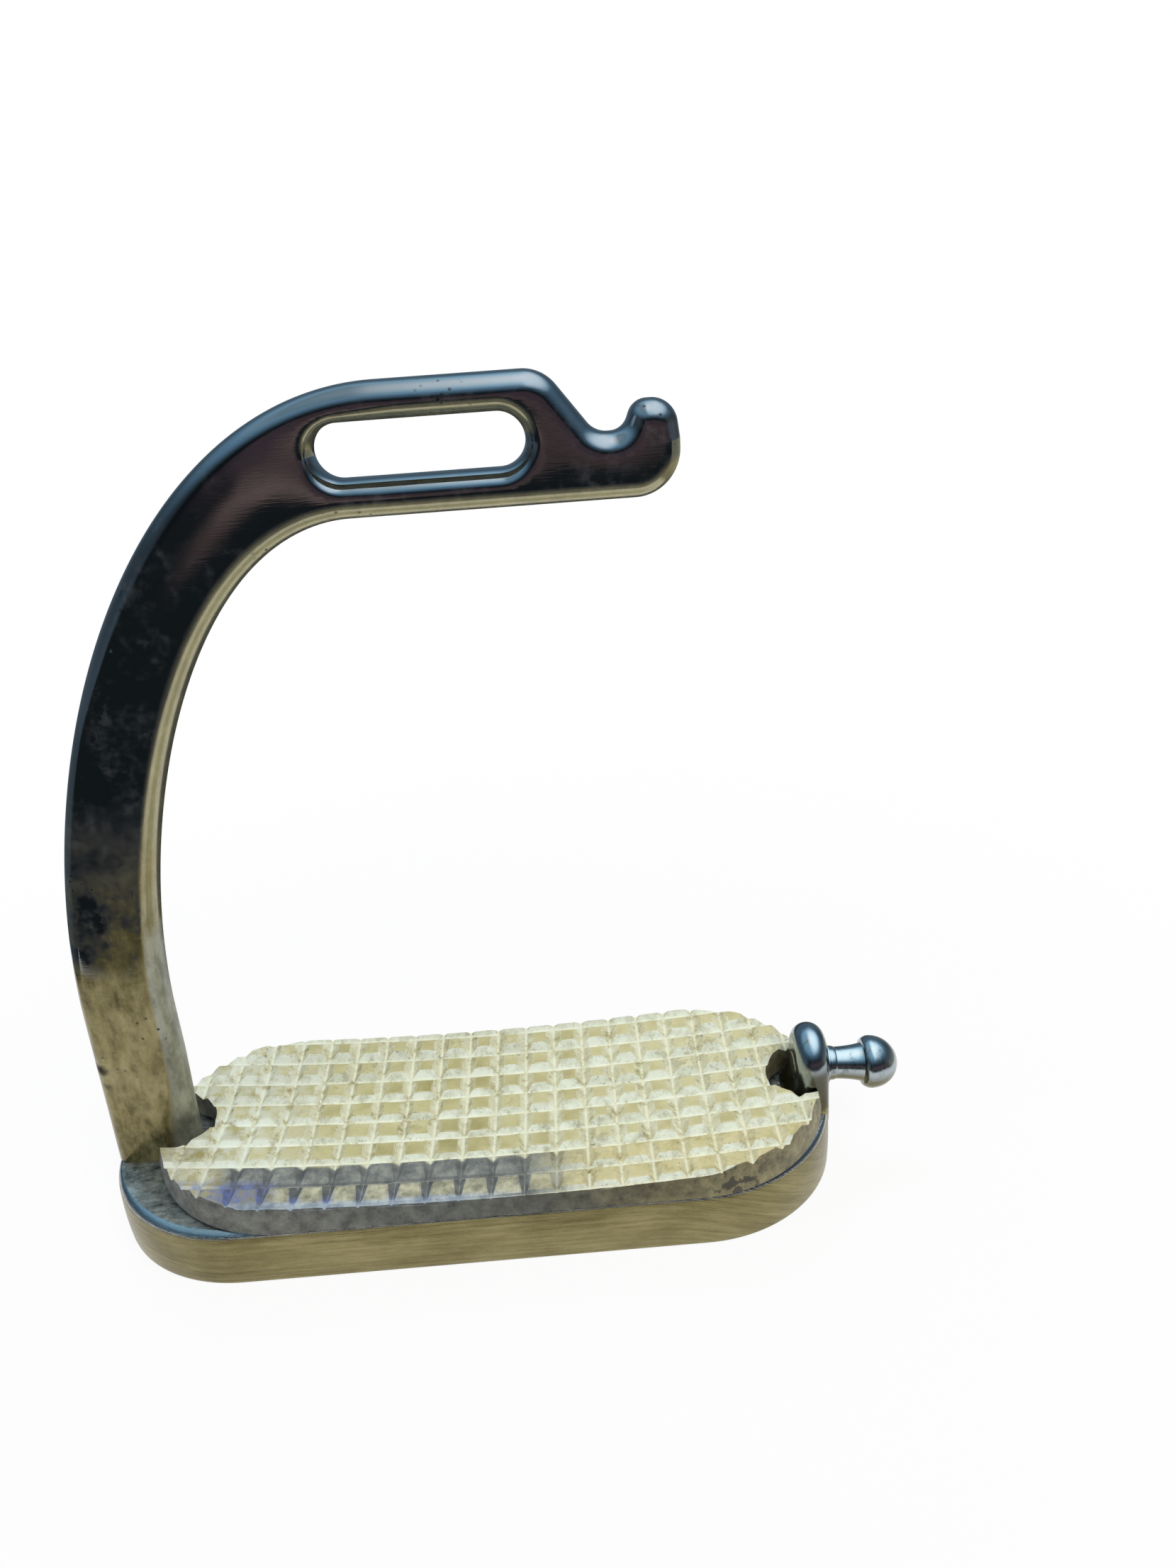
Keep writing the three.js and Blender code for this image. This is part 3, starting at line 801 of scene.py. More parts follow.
def make_tread():
    """Pyramids on a slab, cut to the tread's outline, bent, and given its two plugs."""
    dice = random.Random(11)
    points, faces = [], []
    for i in range(-4, 20):
        for j in range(-1, 9):
            add_pyramid(points, faces, i, j, dice)
    slab = shape("tread_rubber", [tuple(p) for p in points], faces)
    # the sheet of pyramids is closed below, level with the base's top
    work = bmesh.new()
    work.from_mesh(slab.data)
    bmesh.ops.remove_doubles(work, verts=work.verts, dist=1e-6)
    rim_edges = [e for e in work.edges if e.is_boundary]
    made = bmesh.ops.extrude_edge_only(work, edges=rim_edges)["geom"]
    for vert in (g for g in made if isinstance(g, bmesh.types.BMVert)):
        vert.co.z = -(VALLEY_Z - base_top) * MM
    bmesh.ops.holes_fill(work, edges=[e for e in work.edges if e.is_boundary])
    put_back(slab, work)
    place = Matrix.Translation(Vector((GRID_X, GRID_Y, VALLEY_Z)) * MM)
    slab.data.transform(place @ Matrix.Rotation(GRID_TURN, 4, "Z"))

    # the walls lean in above the skirt; what cuts them runs on past the tallest pyramid
    cutter = oval_solid("outline", tread_half_length, tread_half_depth, TREAD_REACH, [
        (base_top, 0), (base_top + TREAD_SKIRT, 0), (base_top + 7, TREAD_DRAFT * 1.2),
    ], 60)
    shift(cutter, tread_x, TREAD_SHIFT_Y, 0)
    carve(slab, cutter, "INTERSECT")
    radius = LUG_WIDTH / 2 + NOTCH_SIDE
    for side, end in ((-1, foot_inner + NOTCH_GAP), (1, lug_inner - NOTCH_GAP)):
        notch = oval_solid("notch", half_length, radius, radius, [(0, 0), (base_top + 20, 0)], 40)
        shift(notch, end + TREAD_SHIFT_X + side * half_length, 0, 0)
        carve(slab, notch, "DIFFERENCE")
    bend_tread(slab)
    for side in (-1, 1):
        into_slab = plug("plug", side, PLUG_GAP, base_top - WEB - PLUG_PROUD, base_top + 1.6)
        carve(slab, into_slab, "UNION")
    shade(slab, 24)
    return slab


# Colours and materials. Places in them are in metres, except on the tread's own grid,
# and the sizes of marks and spots are in millimetres.


def ink(code):
    """An sRGB hex colour as linear RGBA."""
    channels = [int(code[i:i + 2], 16) / 255 for i in (1, 3, 5)]
    return [c / 12.92 if c <= 0.04045 else ((c + 0.055) / 1.055) ** 2.4 for c in channels] + [1]


def add(tree, kind, inputs=(), out=0, stops=(), **settings):
    """One node: its settings, what each input is set to or linked from, and the stops
    of a colour ramp. Gives one output, or all of them where out is None."""
    node = tree.nodes.new("ShaderNode" + kind)
    for name, value in settings.items():
        setattr(node, name, value)
    if stops:
        ramp = node.color_ramp.elements
        for stop, (position, code) in ((ramp[0], stops[0]), (ramp[1], stops[-1])):
            stop.position, stop.color = position, ink(code)
        for position, code in stops[1:-1]:
            ramp.new(position).color = ink(code)
    for key, value in inputs.items() if isinstance(inputs, dict) else enumerate(inputs):
        if isinstance(value, bpy.types.NodeSocket):
            tree.links.new(value, node.inputs[key])
        else:
            node.inputs[key].default_value = value
    return node.outputs if out is None else node.outputs[out]


def marks(tree, place, size, detail, roughness=0.5, slant=(0, 0, 0)):
    """Uneven marks or spots of one size in millimetres, or of one along each axis, with
    finer ones among them, and turned about the axes by a slant."""
    sizes = size if isinstance(size, tuple) else (size, size, size)
    spread = add(tree, "Mapping", {
        "Vector": place, "Rotation": slant, "Scale": [1 / (s * MM) for s in sizes],
    })
    return add(tree, "TexNoise", {
        "Vector": spread, "Scale": 1, "Detail": detail, "Roughness": roughness,
    })


def facing(tree):
    """The parts of the direction that each point of a surface faces."""
    return add(tree, "SeparateXYZ", [add(tree, "NewGeometry", out="Normal")], out=None)


def area(tree, *ranges):
    """Where a finish lies: 1 where every value is past its second number and 0 where
    one is short of its first."""
    mask = None
    for value, start, end in ranges:
        share = add(tree, "MapRange", [value, start, end])
        mask = share if mask is None else add(tree, "Math", [mask, share], operation="MULTIPLY")
    return mask


def coats(tree, colour, *layers):
    """A colour with others laid over it, each where its area is and so thick."""
    colour = ink(colour) if isinstance(colour, str) else colour
    for mask, thickness, top in layers:
        top = ink(top) if isinstance(top, str) else top
        if thickness < 1:
            mask = add(tree, "Math", [mask, thickness], operation="MULTIPLY")
        colour = add(tree, "Mix", {0: mask, 6: colour, 7: top}, out=2, data_type="RGBA")
    return colour


def finish_of(name):
    """A material, its nodes, and the place of each point on it."""
    material = bpy.data.materials.new(name)
    material.use_nodes = True
    tree = material.node_tree
    tree.nodes.clear()
    return material, tree, add(tree, "TexCoord", out="Object")


def polished_steel():
    """Forged steel, machine polished long ago: a dark mirror with soft edges, painted yellow low
    down, underneath and on the inner side as a reflection of a wooden table, with grime there too,
    and fine scratches, rust pits and two rust holes."""
    material, tree, place = finish_of("polished_forged_steel")
    turn = facing(tree)
    parts = add(tree, "SeparateXYZ", [place], out=None)
    cloud = marks(tree, place, 9.09, 7, 0.65)
    # the painted yellow reflection starts at one level across the leg and creeps up along its edges
    across = add(tree, "MapRange", [parts["X"], -0.0742, -0.0572, -1.0, 1.0])
    across = add(tree, "Math", [across, 4.0], operation="POWER")
    level = add(tree, "Math", [across, -0.008, parts["Z"]], operation="MULTIPLY_ADD")
    level = add(tree, "Math", [cloud, 0.005, level], operation="MULTIPLY_ADD")
    yellow_line = (level, 0.0645, 0.0605)
    low_painted_reflection = area(tree, yellow_line)
    # painted reflection: faces turned down, and low down those turned to the inner side, get the
    # yellow too
    inner_painted_reflection = area(tree, (turn["X"], 0.22, 0.45), (parts["Z"], 0.15, 0.12))
    under = area(tree, (turn["Z"], -0.06, -0.25))
    under = add(tree, "Math", [under, inner_painted_reflection], operation="MAXIMUM")
    painted_reflection_and_grime = add(tree, "Math", [low_painted_reflection, under], operation="MAXIMUM")
    # mottled in spots of 2 to 3 mm, drawn out along the leg
    mottle = marks(tree, place, (2.326, 2.326, 6.667), 6, 0.7, (0, 0.25, 0))
    mottle = add(tree, "Mix", {0: 0.5, 2: cloud, 3: mottle}, data_type="FLOAT")
    # the olive of the painted reflection, which the film above it uses as well
    olive_tint = add(tree, "ValToRGB", [mottle], stops=(
        (0.4, "#5a5134"), (0.5, "#81784f"), (0.61, "#9c9268"),
    ))
    # underneath and on the inner side the painted reflection is paler
    yellow = coats(tree, olive_tint, (under, 0.5, "#c0bda4"))
    # above it a brown film fades out up the leg
    film = area(tree, (parts["Z"], 0.096, 0.07), (cloud, 0.4, 0.56))
    # the foot's nose is greyer where the boot has rubbed it
    rubbed = area(tree, (turn["X"], 0.3, 0.5), yellow_line)
    grey = coats(tree, "#7c7e70", (area(tree, (mottle, 0.42, 0.58)), 1, "#a9ab9c"))
    # rust pits: dark specks under a millimetre across, gathered in patches
    pit_spacing, rust_middle = 1.613, (-0.0665, -0.0045, 0.0775)
    cells = add(tree, "TexVoronoi", {"Vector": place, "Scale": 1 / (pit_spacing * MM)})
    away = add(tree, "VectorMath", [place, rust_middle], out="Value", operation="DISTANCE")
    patch = area(tree, (marks(tree, place, 18.18, 3), 0.58, 0.7))
    patch = add(tree, "Math", [patch, area(tree, (away, 0.009, 0.004))], operation="MAXIMUM")
    pit = area(tree, (cells, 0.25, 0.1))
    pit = add(tree, "Math", [pit, patch], operation="MULTIPLY")
    # and two rust holes on the front of the leg, near its outer edge
    holes = (((-0.0722, -0.0035, 0.0372), 0.0019), ((-0.0722, -0.0035, 0.0332), 0.0014))
    for centre, radius in holes:
        away = add(tree, "VectorMath", [place, centre], out="Value", operation="DISTANCE")
        away = add(tree, "Math", [cloud, 0.0035, away], operation="MULTIPLY_ADD")
        hole = area(tree, (away, radius + 0.0022, radius + 0.0012))
        pit = add(tree, "Math", [pit, hole], operation="MAXIMUM")
    colour = coats(
        tree, "#8b9096",
        (painted_reflection_and_grime, 1, yellow), (film, 1, olive_tint), (rubbed, 1, grey), (pit, 1, "#241f18"),
    )
    # fine scratches, a quarter of a millimetre apart
    hair = marks(tree, place, (4, 4, 0.2381), 2, slant=(0.3, 0.5, 0.2))
    rough = add(tree, "MapRange", [cloud, 0.3, 0.75, 0.05, 0.13])
    for finish, share in ((painted_reflection_and_grime, 0.12), (rubbed, 0.22), (pit, 0.5)):
        rough = add(tree, "Math", [finish, share, rough], operation="MULTIPLY_ADD")
    # faint scuffs, and a film of grime where the painted yellow reflection lies, look less like
    # metal
    scuff = marks(tree, place, 2.083, 6, 0.75)
    scuff = area(tree, (scuff, 0.46, 0.62), (cloud, 0.5, 0.62))
    metal = 1.0
    for finish, share in ((painted_reflection_and_grime, -0.28), (film, -0.28), (rubbed, -0.25), (scuff, -0.09)):
        metal = add(tree, "Math", [finish, share, metal], operation="MULTIPLY_ADD")
    # slow waves left by the polishing wheel, and the scratches and pits on them
    wave = marks(tree, place, 16.67, 2)
    swell = add(tree, "Bump", {"Height": wave, "Strength": 0.1, "Distance": 0.001})
    relief = add(tree, "Math", [pit, -3.0, hair], operation="MULTIPLY_ADD")
    bump = add(tree, "Bump", {
        "Height": relief, "Strength": 0.06, "Distance": 0.0001, "Normal": swell,
    })
    shader = add(tree, "BsdfPrincipled", {
        "Base Color": colour, "Metallic": metal, "Roughness": rough, "Normal": bump,
    })
    add(tree, "OutputMaterial", [shader], out=None)
    return material


def cast_steel():
    """Cast steel, ground along its walls and filed on top: walls painted yellow-olive as a
    reflection of a wooden table, with long fine grinding marks, a bluish top with rough file marks,
    and a smooth rounded rim."""
    material, tree, place = finish_of("ground_cast_steel")
    turn = facing(tree)
    parts = add(tree, "SeparateXYZ", [place], out=None)
    # grinding marks 0.8 mm apart, which rise a little towards the right end
    past = add(tree, "Math", [parts["X"], 0.036], operation="SUBTRACT")
    past = add(tree, "Math", [past, 0.0], operation="MAXIMUM")
    fan = add(tree, "Math", [past, past], operation="MULTIPLY")
    fan = add(tree, "Math", [fan, 14.0, parts["Z"]], operation="MULTIPLY_ADD")
    bent = add(tree, "CombineXYZ", [parts["X"], parts["Y"], fan])
    grain = marks(tree, bent, (22.22, 22.22, 0.7692), 6, 0.7)
    cloud = marks(tree, bent, (18.18, 18.18, 5.882), 6, 0.7)
    mottle = add(tree, "Mix", {0: 0.45, 2: cloud, 3: grain}, data_type="FLOAT")
    # the walls' yellow-olive is a painted reflection of a wooden table, mottled by the grinding
    # marks
    wall = add(tree, "ValToRGB", [mottle], stops=(
        (0.36, "#675d3a"), (0.5, "#837a53"), (0.62, "#9b9168"),
    ))
    # file marks 1.6 mm apart, aslant, and blots of about 5 mm
    filing = marks(tree, place, (6.25, 1.613, 3.333), 8, 0.75, (0, 0, 0.7))
    blot = marks(tree, place, 5.263, 7, 0.75)
    worn = add(tree, "Mix", {0: 0.42, 2: blot, 3: filing}, data_type="FLOAT")
    top = add(tree, "ValToRGB", [worn], stops=((0.41, "#545a5b"), (0.6, "#e0e2dc")))
    upward = area(tree, (turn["Z"], 0.25, 0.6))
    flat = area(tree, (turn["Z"], 0.985, 0.999))
    rim = add(tree, "Math", [upward, flat], operation="SUBTRACT")
    # the lug is buffed like the stud: painted grey-yellow at its root as a reflection of a wooden
    # table, painted dark olive on faces turned down but not left as a dark reflection, and bluish
    # above
    lug = area(tree, (parts["Z"], 0.0134, 0.0145))
    lug_steel_and_painted_reflection = coats(
        tree, "#5d5a45",
        (area(tree, (parts["Z"], 0.0165, 0.0235)), 1, "#a3adb4"),
        (area(tree, (turn["Z"], 0.3, -0.05), (turn["X"], -0.5, -0.1)), 1, "#4c4833"),
    )
    colour = coats(tree, wall, (upward, 1, top), (rim, 1, "#a9aeb0"), (lug, 1, lug_steel_and_painted_reflection))
    rough = add(tree, "MapRange", [mottle, 0.3, 0.7, 0.2, 0.34])
    for finish, share in ((flat, 0.14), (rim, -0.15)):
        rough = add(tree, "Math", [finish, share, rough], operation="MULTIPLY_ADD")
    rough = add(tree, "Mix", {0: lug, 2: rough, 3: 0.17}, data_type="FLOAT")
    relief = add(tree, "Mix", {0: flat, 2: grain, 3: worn}, data_type="FLOAT")
    depth = add(tree, "MapRange", [lug, 0.0, 1.0, 0.5, 0.08])
    bump = add(tree, "Bump", {"Height": relief, "Strength": depth, "Distance": 0.0004})
    # a film of grime dulls the flat top
    metal = add(tree, "Math", [flat, -0.16, 1.0], operation="MULTIPLY_ADD")
    shader = add(tree, "BsdfPrincipled", {
        "Base Color": colour, "Metallic": metal, "Roughness": rough, "Normal": bump,
    })
    add(tree, "OutputMaterial", [shader], out=None)
    return material


def turned_steel():
    """Bar steel turned on a lathe and buffed: bright, with faint rings round its axis, and painted
    olive on faces turned down as a reflection of a wooden table.
    """
    material, tree, place = finish_of("turned_bar_steel")
    turn = facing(tree)
    # the lathe's rings are 0.4 mm apart, which is as fine as would show
    rings = marks(tree, place, (0.3846, 11.11, 11.11), 3)
    blot = marks(tree, place, 3.846, 6, 0.65)
    # olive on faces turned down is a painted reflection of a wooden table; darker blots lie here
    # and there
    colour = coats(
        tree, "#aab4b9",
        (area(tree, (turn["Z"], 0.1, -0.3)), 1, "#6f6b50"),
        (area(tree, (blot, 0.55, 0.75)), 1, "#565a52"),
    )
    shader = add(tree, "BsdfPrincipled", {
        "Base Color": colour, "Metallic": 1.0,
        "Roughness": add(tree, "MapRange", [rings, 0.3, 0.7, 0.14, 0.26]),
        "Normal": add(tree, "Bump", {"Height": rings, "Strength": 0.1, "Distance": 0.0001}),
    })
    add(tree, "OutputMaterial", [shader], out=None)
    return material


def moulded_rubber():
    """Moulded natural rubber, aged: cream in the grooves, tan and matt where boots have rubbed the
    tops, with grey scuffs and a blue stain along its front. Its flanks turned to the front carry
    painted cool light, those turned to the left painted shade, and its grooves a painted highlight."""
    material, tree, place = finish_of("moulded_cream_rubber")
    turn = facing(tree)
    # the tread's own grid, in millimetres from its front left crossing
    grid = add(tree, "Mapping", {
        "Vector": place, "Location": (GRID_X * MM, GRID_Y * MM, 0),
        "Rotation": (0, 0, GRID_TURN), "Scale": (MM, MM, MM),
    }, vector_type="TEXTURE")
    at = add(tree, "SeparateXYZ", [grid], out=None)
    to_column = add(tree, "Math", [at["X"], PITCH / 2], operation="PINGPONG")
    to_row = add(tree, "Math", [at["Y"], PITCH / 2], operation="PINGPONG")
    to_groove = add(tree, "Math", [to_column, to_row], operation="MINIMUM")
    grime = marks(tree, place, 3.03, 8, 0.72)
    cloud = marks(tree, place, 14.29, 5, 0.6)
    speck = marks(tree, place, 0.6667, 3, 0.6)
    scrawl = marks(tree, place, 2.381, 3)
    # places along and across it, made ragged for the stains' edges
    edge, ragged, far_left, front = (
        add(tree, "Math", [cloud, share, way], operation="MULTIPLY_ADD")
        for share, way in ((14.0, at["X"]), (3.4, at["Y"]), (5.0, at["Y"]), (1.6, at["Y"]))
    )
    cream, front_painted_light, left_painted_shade, paler_left_painted_shade, gold, grey, dark_flank, ochre, violet, bluish_white = (
        add(tree, "ValToRGB", [grime], stops=stops) for stops in (
            ((0.34, "#a89f70"), (0.45, "#d6d5b2"), (0.6, "#eceed6")),
            ((0.3, "#a4a283"), (0.42, "#cbcfb8"), (0.56, "#e4ebdb")),
            ((0.34, "#948b5b"), (0.45, "#bdb78d"), (0.6, "#dcdabb")),
            ((0.34, "#b5ac80"), (0.45, "#d6d2aa"), (0.6, "#e8e6ca")),
            ((0.36, "#a4965c"), (0.48, "#d0c38a"), (0.62, "#e2d8a8")),
            ((0.36, "#54575a"), (0.5, "#757978"), (0.64, "#959891")),
            ((0.36, "#4b4f54"), (0.62, "#777b7a")),
            ((0.38, "#807f6c"), (0.6, "#c6c4a8")),
            ((0.4, "#3d4f92"), (0.62, "#7585b8")),
            ((0.38, "#8593a6"), (0.6, "#b9c6cb")),
        )
    )
    tan, pale_tan = (
        add(tree, "ValToRGB", [cloud], stops=stops) for stops in (
            ((0.34, "#a59c65"), (0.5, "#c3bc87"), (0.68, "#d6d1a2")),
            ((0.34, "#c9c08d"), (0.5, "#d8d2a2"), (0.68, "#e2e0ba")),
        )
    )
    # less worn, its tops are paler from the middle on towards the right, and the painted shade on
    # the flanks turned left is lighter there
    fresher = area(tree, (edge, 52.0, 84.0))
    left_painted_shade = coats(tree, left_painted_shade, (fresher, 0.75, paler_left_painted_shade))
    tan = coats(tree, tan, (fresher, 0.75, pale_tan))
    # the tops are tan, with ragged edges
    level = add(tree, "Math", [grime, 0.09, turn["Z"]], operation="MULTIPLY_ADD")
    worn = area(tree, (level, 0.975, 1.005))
    # golden at the right of the front two rows
    golden = area(tree, (edge, 66.0, 76.0), (at["Y"], 13.6, 12.4), (turn["Y"], -0.5, -0.35))
    # dirt caught in specks along the tops' edges, and smudged here and there
    speck = area(
        tree, (speck, 0.58, 0.66), (turn["Z"], 0.72, 0.86), (turn["Z"], 0.995, 0.97),
        (cloud, 0.42, 0.56),
    )
    smudge = area(tree, (cloud, 0.52, 0.62), (grime, 0.5, 0.58))
    # a painted highlight along the grooves, where light would catch their back sides, and bleached
    # towards the left end
    groove_painted_highlight = area(tree, (to_groove, 0.4, 0.14), (grime, 0.38, 0.5))
    bleached = area(tree, (edge, 24.0, 8.0), (grime, 0.4, 0.56))
    # the front two rows are grey with dirt, as far as the middle
    stained = area(tree, (ragged, 13.6, 12.8), (edge, 0.0, 5.0), (edge, 78.0, 64.0))
    front_row = area(tree, (at["Y"], PITCH + 0.2, PITCH - 0.2))
    row_top = coats(tree, grey, (front_row, 1, ochre))
    dirt = coats(tree, dark_flank, (area(tree, (turn["Z"], 0.93, 0.97)), 1, row_top))
    # blue stains in the front ends of the grooves at the left
    blue = area(tree, (at["Y"], 4.6, 1.2), (to_column, 1.7, 0.5))
    end_stain = area(tree, (edge, 16.0, 11.0), (far_left, 10.5, 8.0))
    blue = add(tree, "Math", [blue, end_stain], operation="MAXIMUM")
    blotched = area(tree, (edge, 52.0, 26.0), (grime, 0.4, 0.56))
    blue = add(tree, "Math", [blue, blotched], operation="MULTIPLY")
    # the front edge is rubbed to a bluish white
    lip = area(tree, (front, 2.5, 1.7), (edge, 66.0, 52.0), (turn["Z"], 0.35, 0.6))
    # walls: rubbed dark grey at the left, brown towards the right, with a dark blotch
    wall = add(tree, "ValToRGB", [area(tree, (at["X"], -20.0, 125.0))], stops=(
        (0.1, "#6e7069"), (0.4, "#5e615b"), (0.55, "#54564d"), (0.72, "#696345"),
        (0.84, "#837d5c"), (0.98, "#8f8970"),
    ))
    wall_shade = add(tree, "MapRange", [grime, 0.34, 0.66, 0.4, 1.5])
    wall = add(tree, "VectorMath", {0: wall, "Scale": wall_shade}, operation="SCALE")
    scrawl = area(tree, (scrawl, 0.52, 0.56), (at["X"], 91.0, 95.0), (at["X"], 106.0, 101.0))
    wall = coats(tree, wall, (scrawl, 0.85, "#37332a"))
    # flanks turned to the front get painted cool light, and flanks turned to the left painted shade
    colour = coats(
        tree, cream,
        (area(tree, (turn["Y"], -0.35, -0.5)), 1, front_painted_light),
        (area(tree, (turn["X"], -0.3, -0.5)), 1, left_painted_shade),
        (worn, 1, tan), (golden, 0.6, gold), (speck, 0.7, "#5d5433"), (smudge, 0.55, "#8d8353"),
        (groove_painted_highlight, 0.8, "#eef0da"), (bleached, 0.5, "#e6efe6"), (stained, 0.94, dirt),
        (blue, 1, violet), (lip, 0.85, bluish_white),
        (area(tree, (turn["Z"], 0.5, 0.3)), 1, wall),
    )
    # a matt skin with pores about a millimetre apart
    pores = marks(tree, place, 1.111, 4)
    relief = add(tree, "Math", [grime, 1.6, pores], operation="MULTIPLY_ADD")
    shader = add(tree, "BsdfPrincipled", {
        "Base Color": colour, "Metallic": 0.0, "Roughness": 0.6, "IOR": 1.52,
        "Normal": add(tree, "Bump", {"Height": relief, "Strength": 0.4, "Distance": 0.0002}),
    })
    add(tree, "OutputMaterial", [shader], out=None)
    return material


base = make_base()
bow = make_bow()
stud = make_stud()
tread = make_tread()
for piece, material, node, body, slot in (
    (base, cast_steel(), "tread_base", "iron", "cast_steel"),
    (bow, polished_steel(), "bow", "iron", "polished_steel"),
    (stud, turned_steel(), "ring_stud", "iron", "turned_steel"),
    (tread, moulded_rubber(), "tread_pad", "tread", "tread_rubber"),
):
    piece.data.materials.clear()
    piece.data.materials.append(material)
    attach(piece, body)
    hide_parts(node)


# The studio: a white floor and surround, soft lamps, and a dark cloth and tent that are
# seen only in the polish.


def seen_as_white(tree, kept):
    """1 for rays that look at the background straight or in a reflection."""
    path = add(tree, "LightPath", out=None)
    looked = add(tree, "Math", [path["Is Camera Ray"], path["Is Glossy Ray"]], operation="ADD")
    looked = add(
        tree, "Math", [looked, path["Is Transmission Ray"]], operation="ADD", use_clamp=True,
    )
    return add(tree, "Math", [looked, kept], operation="MULTIPLY")


WHITE = (1, 1, 1, 1)
floor_material, tree, place = finish_of("white_floor")
paint = add(tree, "BsdfDiffuse", {"Color": ink("#f2f2f2")})
glow = add(tree, "Emission", {"Color": WHITE, "Strength": 1.0})
away = add(tree, "VectorMath", [place], out="Value", operation="LENGTH")
kept = add(tree, "MapRange", [away, 0.09, 0.26, 0.92, 1.0])
mixed = add(tree, "MixShader", [seen_as_white(tree, kept), paint, glow])
add(tree, "OutputMaterial", [mixed], out=None)
FLOOR_REACH = 3000
floor = shape("floor", [
    (FLOOR_REACH * x, FLOOR_REACH * y, 0) for x, y in ((-1, -1), (1, -1), (1, 1), (-1, 1))
], [(0, 1, 2, 3)])
floor.data.materials.append(floor_material)

AMBIENT = 0.3
world = bpy.data.worlds.new("surround")
bpy.context.scene.world = world
world.use_nodes = True
tree = world.node_tree
tree.nodes.clear()
ambient = add(tree, "Background", {"Color": WHITE, "Strength": AMBIENT})
white = add(tree, "Background", {"Color": WHITE, "Strength": 1.0})
mixed = add(tree, "MixShader", [seen_as_white(tree, 1.0), ambient, white])
add(tree, "OutputWorld", [mixed], out=None)


def only_in_polish(item):
    """Hides a screen from everything but reflections."""
    item.visible_camera = False
    item.visible_diffuse = False
    item.visible_shadow = False
    item.visible_transmission = False
    item.visible_volume_scatter = False


# a dark cloth lies round the object, level with the floor, from here outwards
OPEN_X, OPEN_Y, FAR = 170, 92, 1600
corners = [
    (sx * x, sy * y, 1)
    for x, y in ((OPEN_X, OPEN_Y), (FAR, FAR))
    for sx, sy in ((-1, -1), (1, -1), (1, 1), (-1, 1))
]
cloth = shape("dark_cloth", corners, [(k, (k + 1) % 4, 4 + (k + 1) % 4, 4 + k) for k in range(4)])
cloth_material, tree, place = finish_of("dark_cloth")
ground = add(tree, "SeparateXYZ", [place], out=None)
# farther off in front it is brown, right of a slanting line
line = add(tree, "Math", [ground["Y"], -0.24, ground["X"]], operation="MULTIPLY_ADD")
nearer = add(tree, "MapRange", [ground["X"], -0.195, -0.03, 0.0, 0.36])
nearer = add(tree, "Math", [ground["Y"], nearer], operation="ADD")
brown = area(tree, (nearer, -0.5, -0.62), (line, -0.1, -0.06))
folds = marks(tree, place, (500, 142.9, 1000), 3)
nap = add(tree, "ValToRGB", [folds], stops=((0.38, "#352b2d"), (0.62, "#9d847e")))
cloth_colour = coats(tree, "#282f31", (brown, 1, nap))
for side, slant, code in ((-1, -0.3, "#5b6870"), (1, 0.3, "#a9a78e")):
    # and it is paler to the left and to the right of the object
    beside = add(tree, "Math", [ground["X"], slant, ground["Y"]], operation="MULTIPLY_ADD")
    pale = area(tree, (beside, -0.06, 0.06), (ground["X"], side * 0.15, side * 0.25))
    cloth_colour = coats(tree, cloth_colour, (pale, 1, code))
# the cloth glows in these colours instead of being lit: a painted reflection of a dark room
shine = add(tree, "Emission", {"Color": cloth_colour, "Strength": 1.0})
add(tree, "OutputMaterial", [shine], out=None)
cloth.data.materials.append(cloth_material)
only_in_polish(cloth)

# and a tent stands over it: dark in front, with daylight coming in over the top
TENT_RADIUS = 1500
TENT_RINGS = 17
TENT_SIDES = 48
tent_points = []
for k in range(TENT_RINGS):
    rise = math.pi / 2 * k / TENT_RINGS
    for i in range(TENT_SIDES):
        way = 2 * math.pi * i / TENT_SIDES
        tent_points.append(tuple(TENT_RADIUS * c for c in (
            math.cos(way) * math.cos(rise), math.sin(way) * math.cos(rise), math.sin(rise),
        )))
tent_faces = bands(0, TENT_SIDES, TENT_RINGS)
tent_points.append((0, 0, TENT_RADIUS))
last_ring = TENT_SIDES * (TENT_RINGS - 1)
tent_faces.extend(
    (last_ring + i, last_ring + (i + 1) % TENT_SIDES, len(tent_points) - 1)
    for i in range(TENT_SIDES)
)
tent = shape("daylight_tent", tent_points, tent_faces)
tent_material, tree, place = finish_of("daylight_tent")
side = add(tree, "VectorMath", [place], operation="NORMALIZE")
side = add(tree, "SeparateXYZ", [side], out=None)
overhead = add(tree, "Math", [side["Y"], 0.06, side["Z"]], operation="MULTIPLY_ADD")
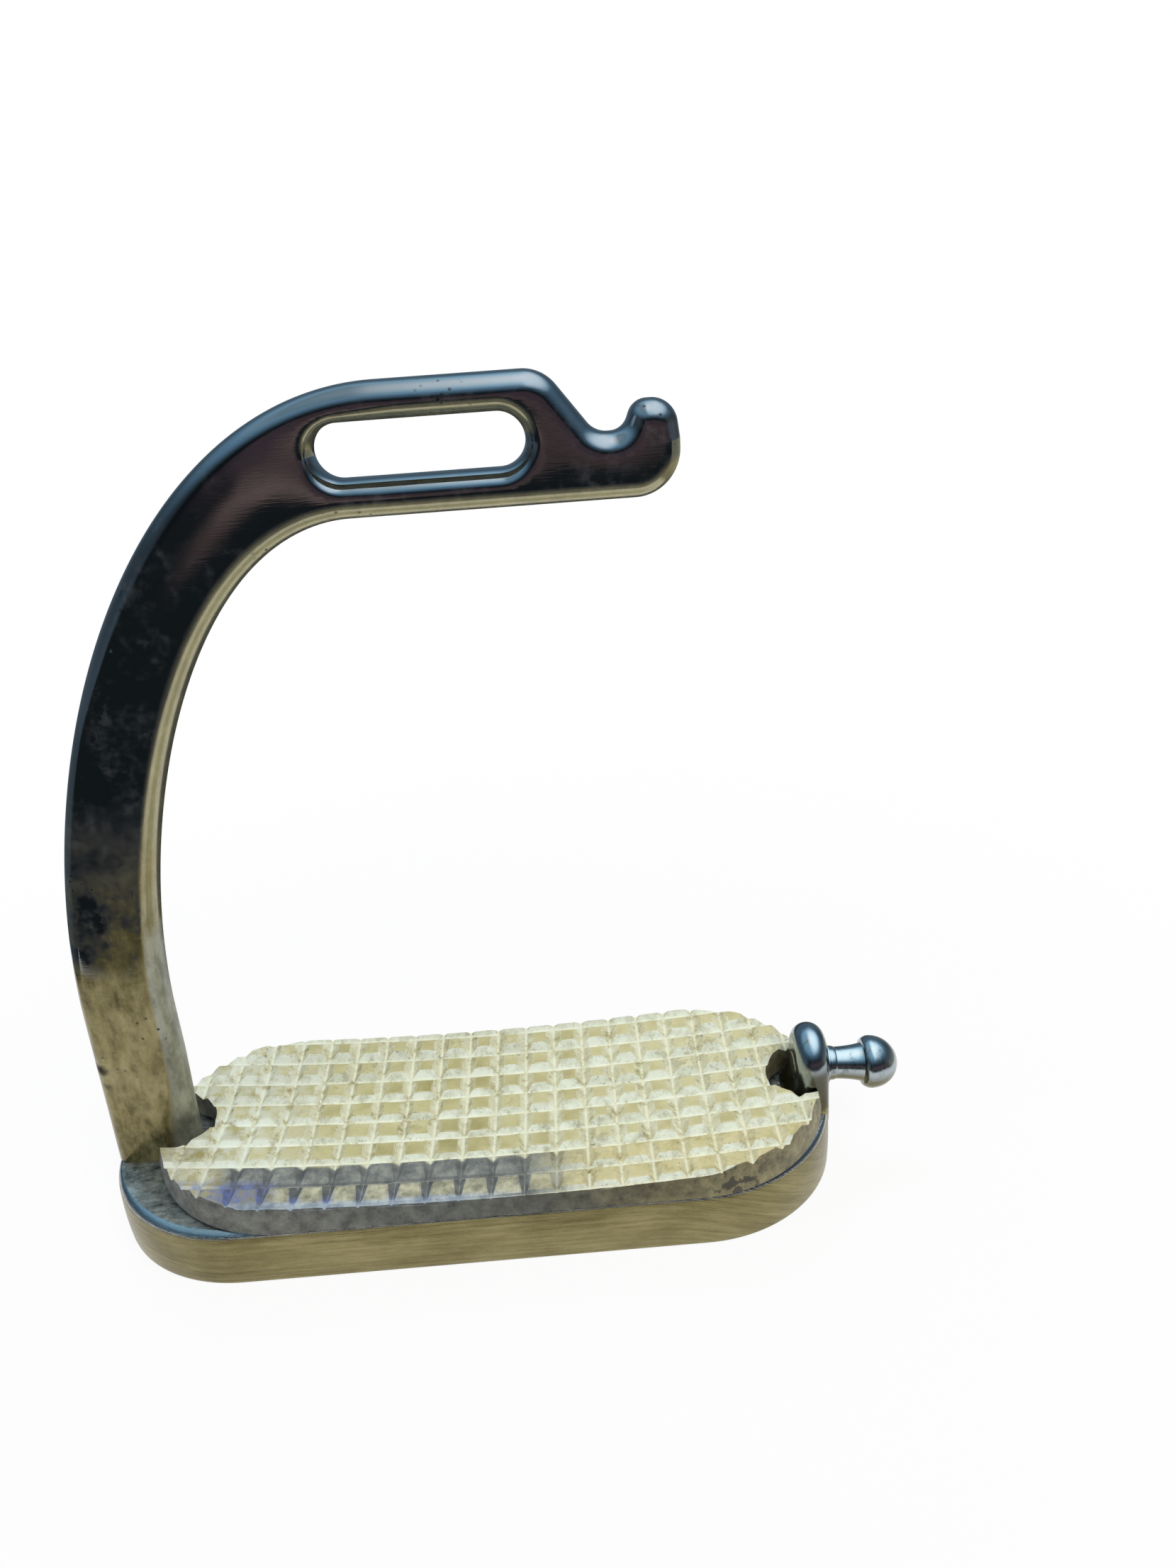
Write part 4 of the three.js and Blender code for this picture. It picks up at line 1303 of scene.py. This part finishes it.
sky = add(tree, "ValToRGB", [overhead], stops=(
    (0.26, "#15191c"), (0.4, "#293840"), (0.54, "#455b69"), (0.72, "#6488a0"),
    (0.88, "#add2e2"), (1.0, "#f4fbfd"),
))
near_ground = (side["Z"], 0.55, 0.1)
sky = coats(
    tree, sky,
    # blue-grey behind the object
    (area(tree, (side["Y"], 0.5, 0.8), (side["Z"], 0.85, 0.4)), 1, "#43525d"),
    # dimmer overhead towards the left, and brighter towards the right
    (area(tree, (side["X"], 0.02, -0.2), (side["Z"], 0.68, 0.86)), 0.8, "#5c7480"),
    (area(tree, (side["X"], 0.0, 0.18), (side["Z"], 0.62, 0.86)), 0.7, "#f0fafd"),
    # grey near the ground at both sides
    (area(tree, (side["X"], -0.55, -0.8), near_ground), 1, "#424e56"),
    (area(tree, (side["X"], 0.7, 0.95), near_ground), 1, "#50555a"),
    # and in front the cloth's brown goes on up it
    (
        area(tree, (side["Y"], -0.5, -0.7), (side["Z"], 0.3, 0.16), (side["X"], -0.4, -0.3)),
        1, "#41363a",
    ),
)
shine = add(tree, "Emission", {"Color": sky, "Strength": 2.2})
add(tree, "OutputMaterial", [shine], out=None)
tent.data.materials.append(tent_material)
only_in_polish(tent)


def lamp(name, place, target, size, power, code):
    """A soft lamp that lights the object but isn't seen in its polish."""
    light = bpy.data.lights.new(name, "AREA")
    light.shape = "RECTANGLE"
    light.size, light.size_y = (s * MM for s in size)
    light.energy = power
    light.color = ink(code)[:3]
    item = bpy.data.objects.new(name, light)
    item.location = Vector(place) * MM
    item.rotation_euler = (Vector(target) - Vector(place)).to_track_quat("-Z", "Y").to_euler()
    item.visible_glossy = False
    bpy.context.scene.collection.objects.link(item)


lamp("key_lamp", (300, -430, 760), (0, 0, 20), (420, 320), 4.0, "#fff6ea")
lamp("window_lamp", (-200, 520, 860), (0, 0, 60), (520, 200), 3.0, "#dcecff")
lamp("fill_lamp", (-620, -260, 480), (0, 0, 60), (260, 420), 1.3, "#e4eeff")

bpy.context.scene.view_settings.view_transform = "Standard"
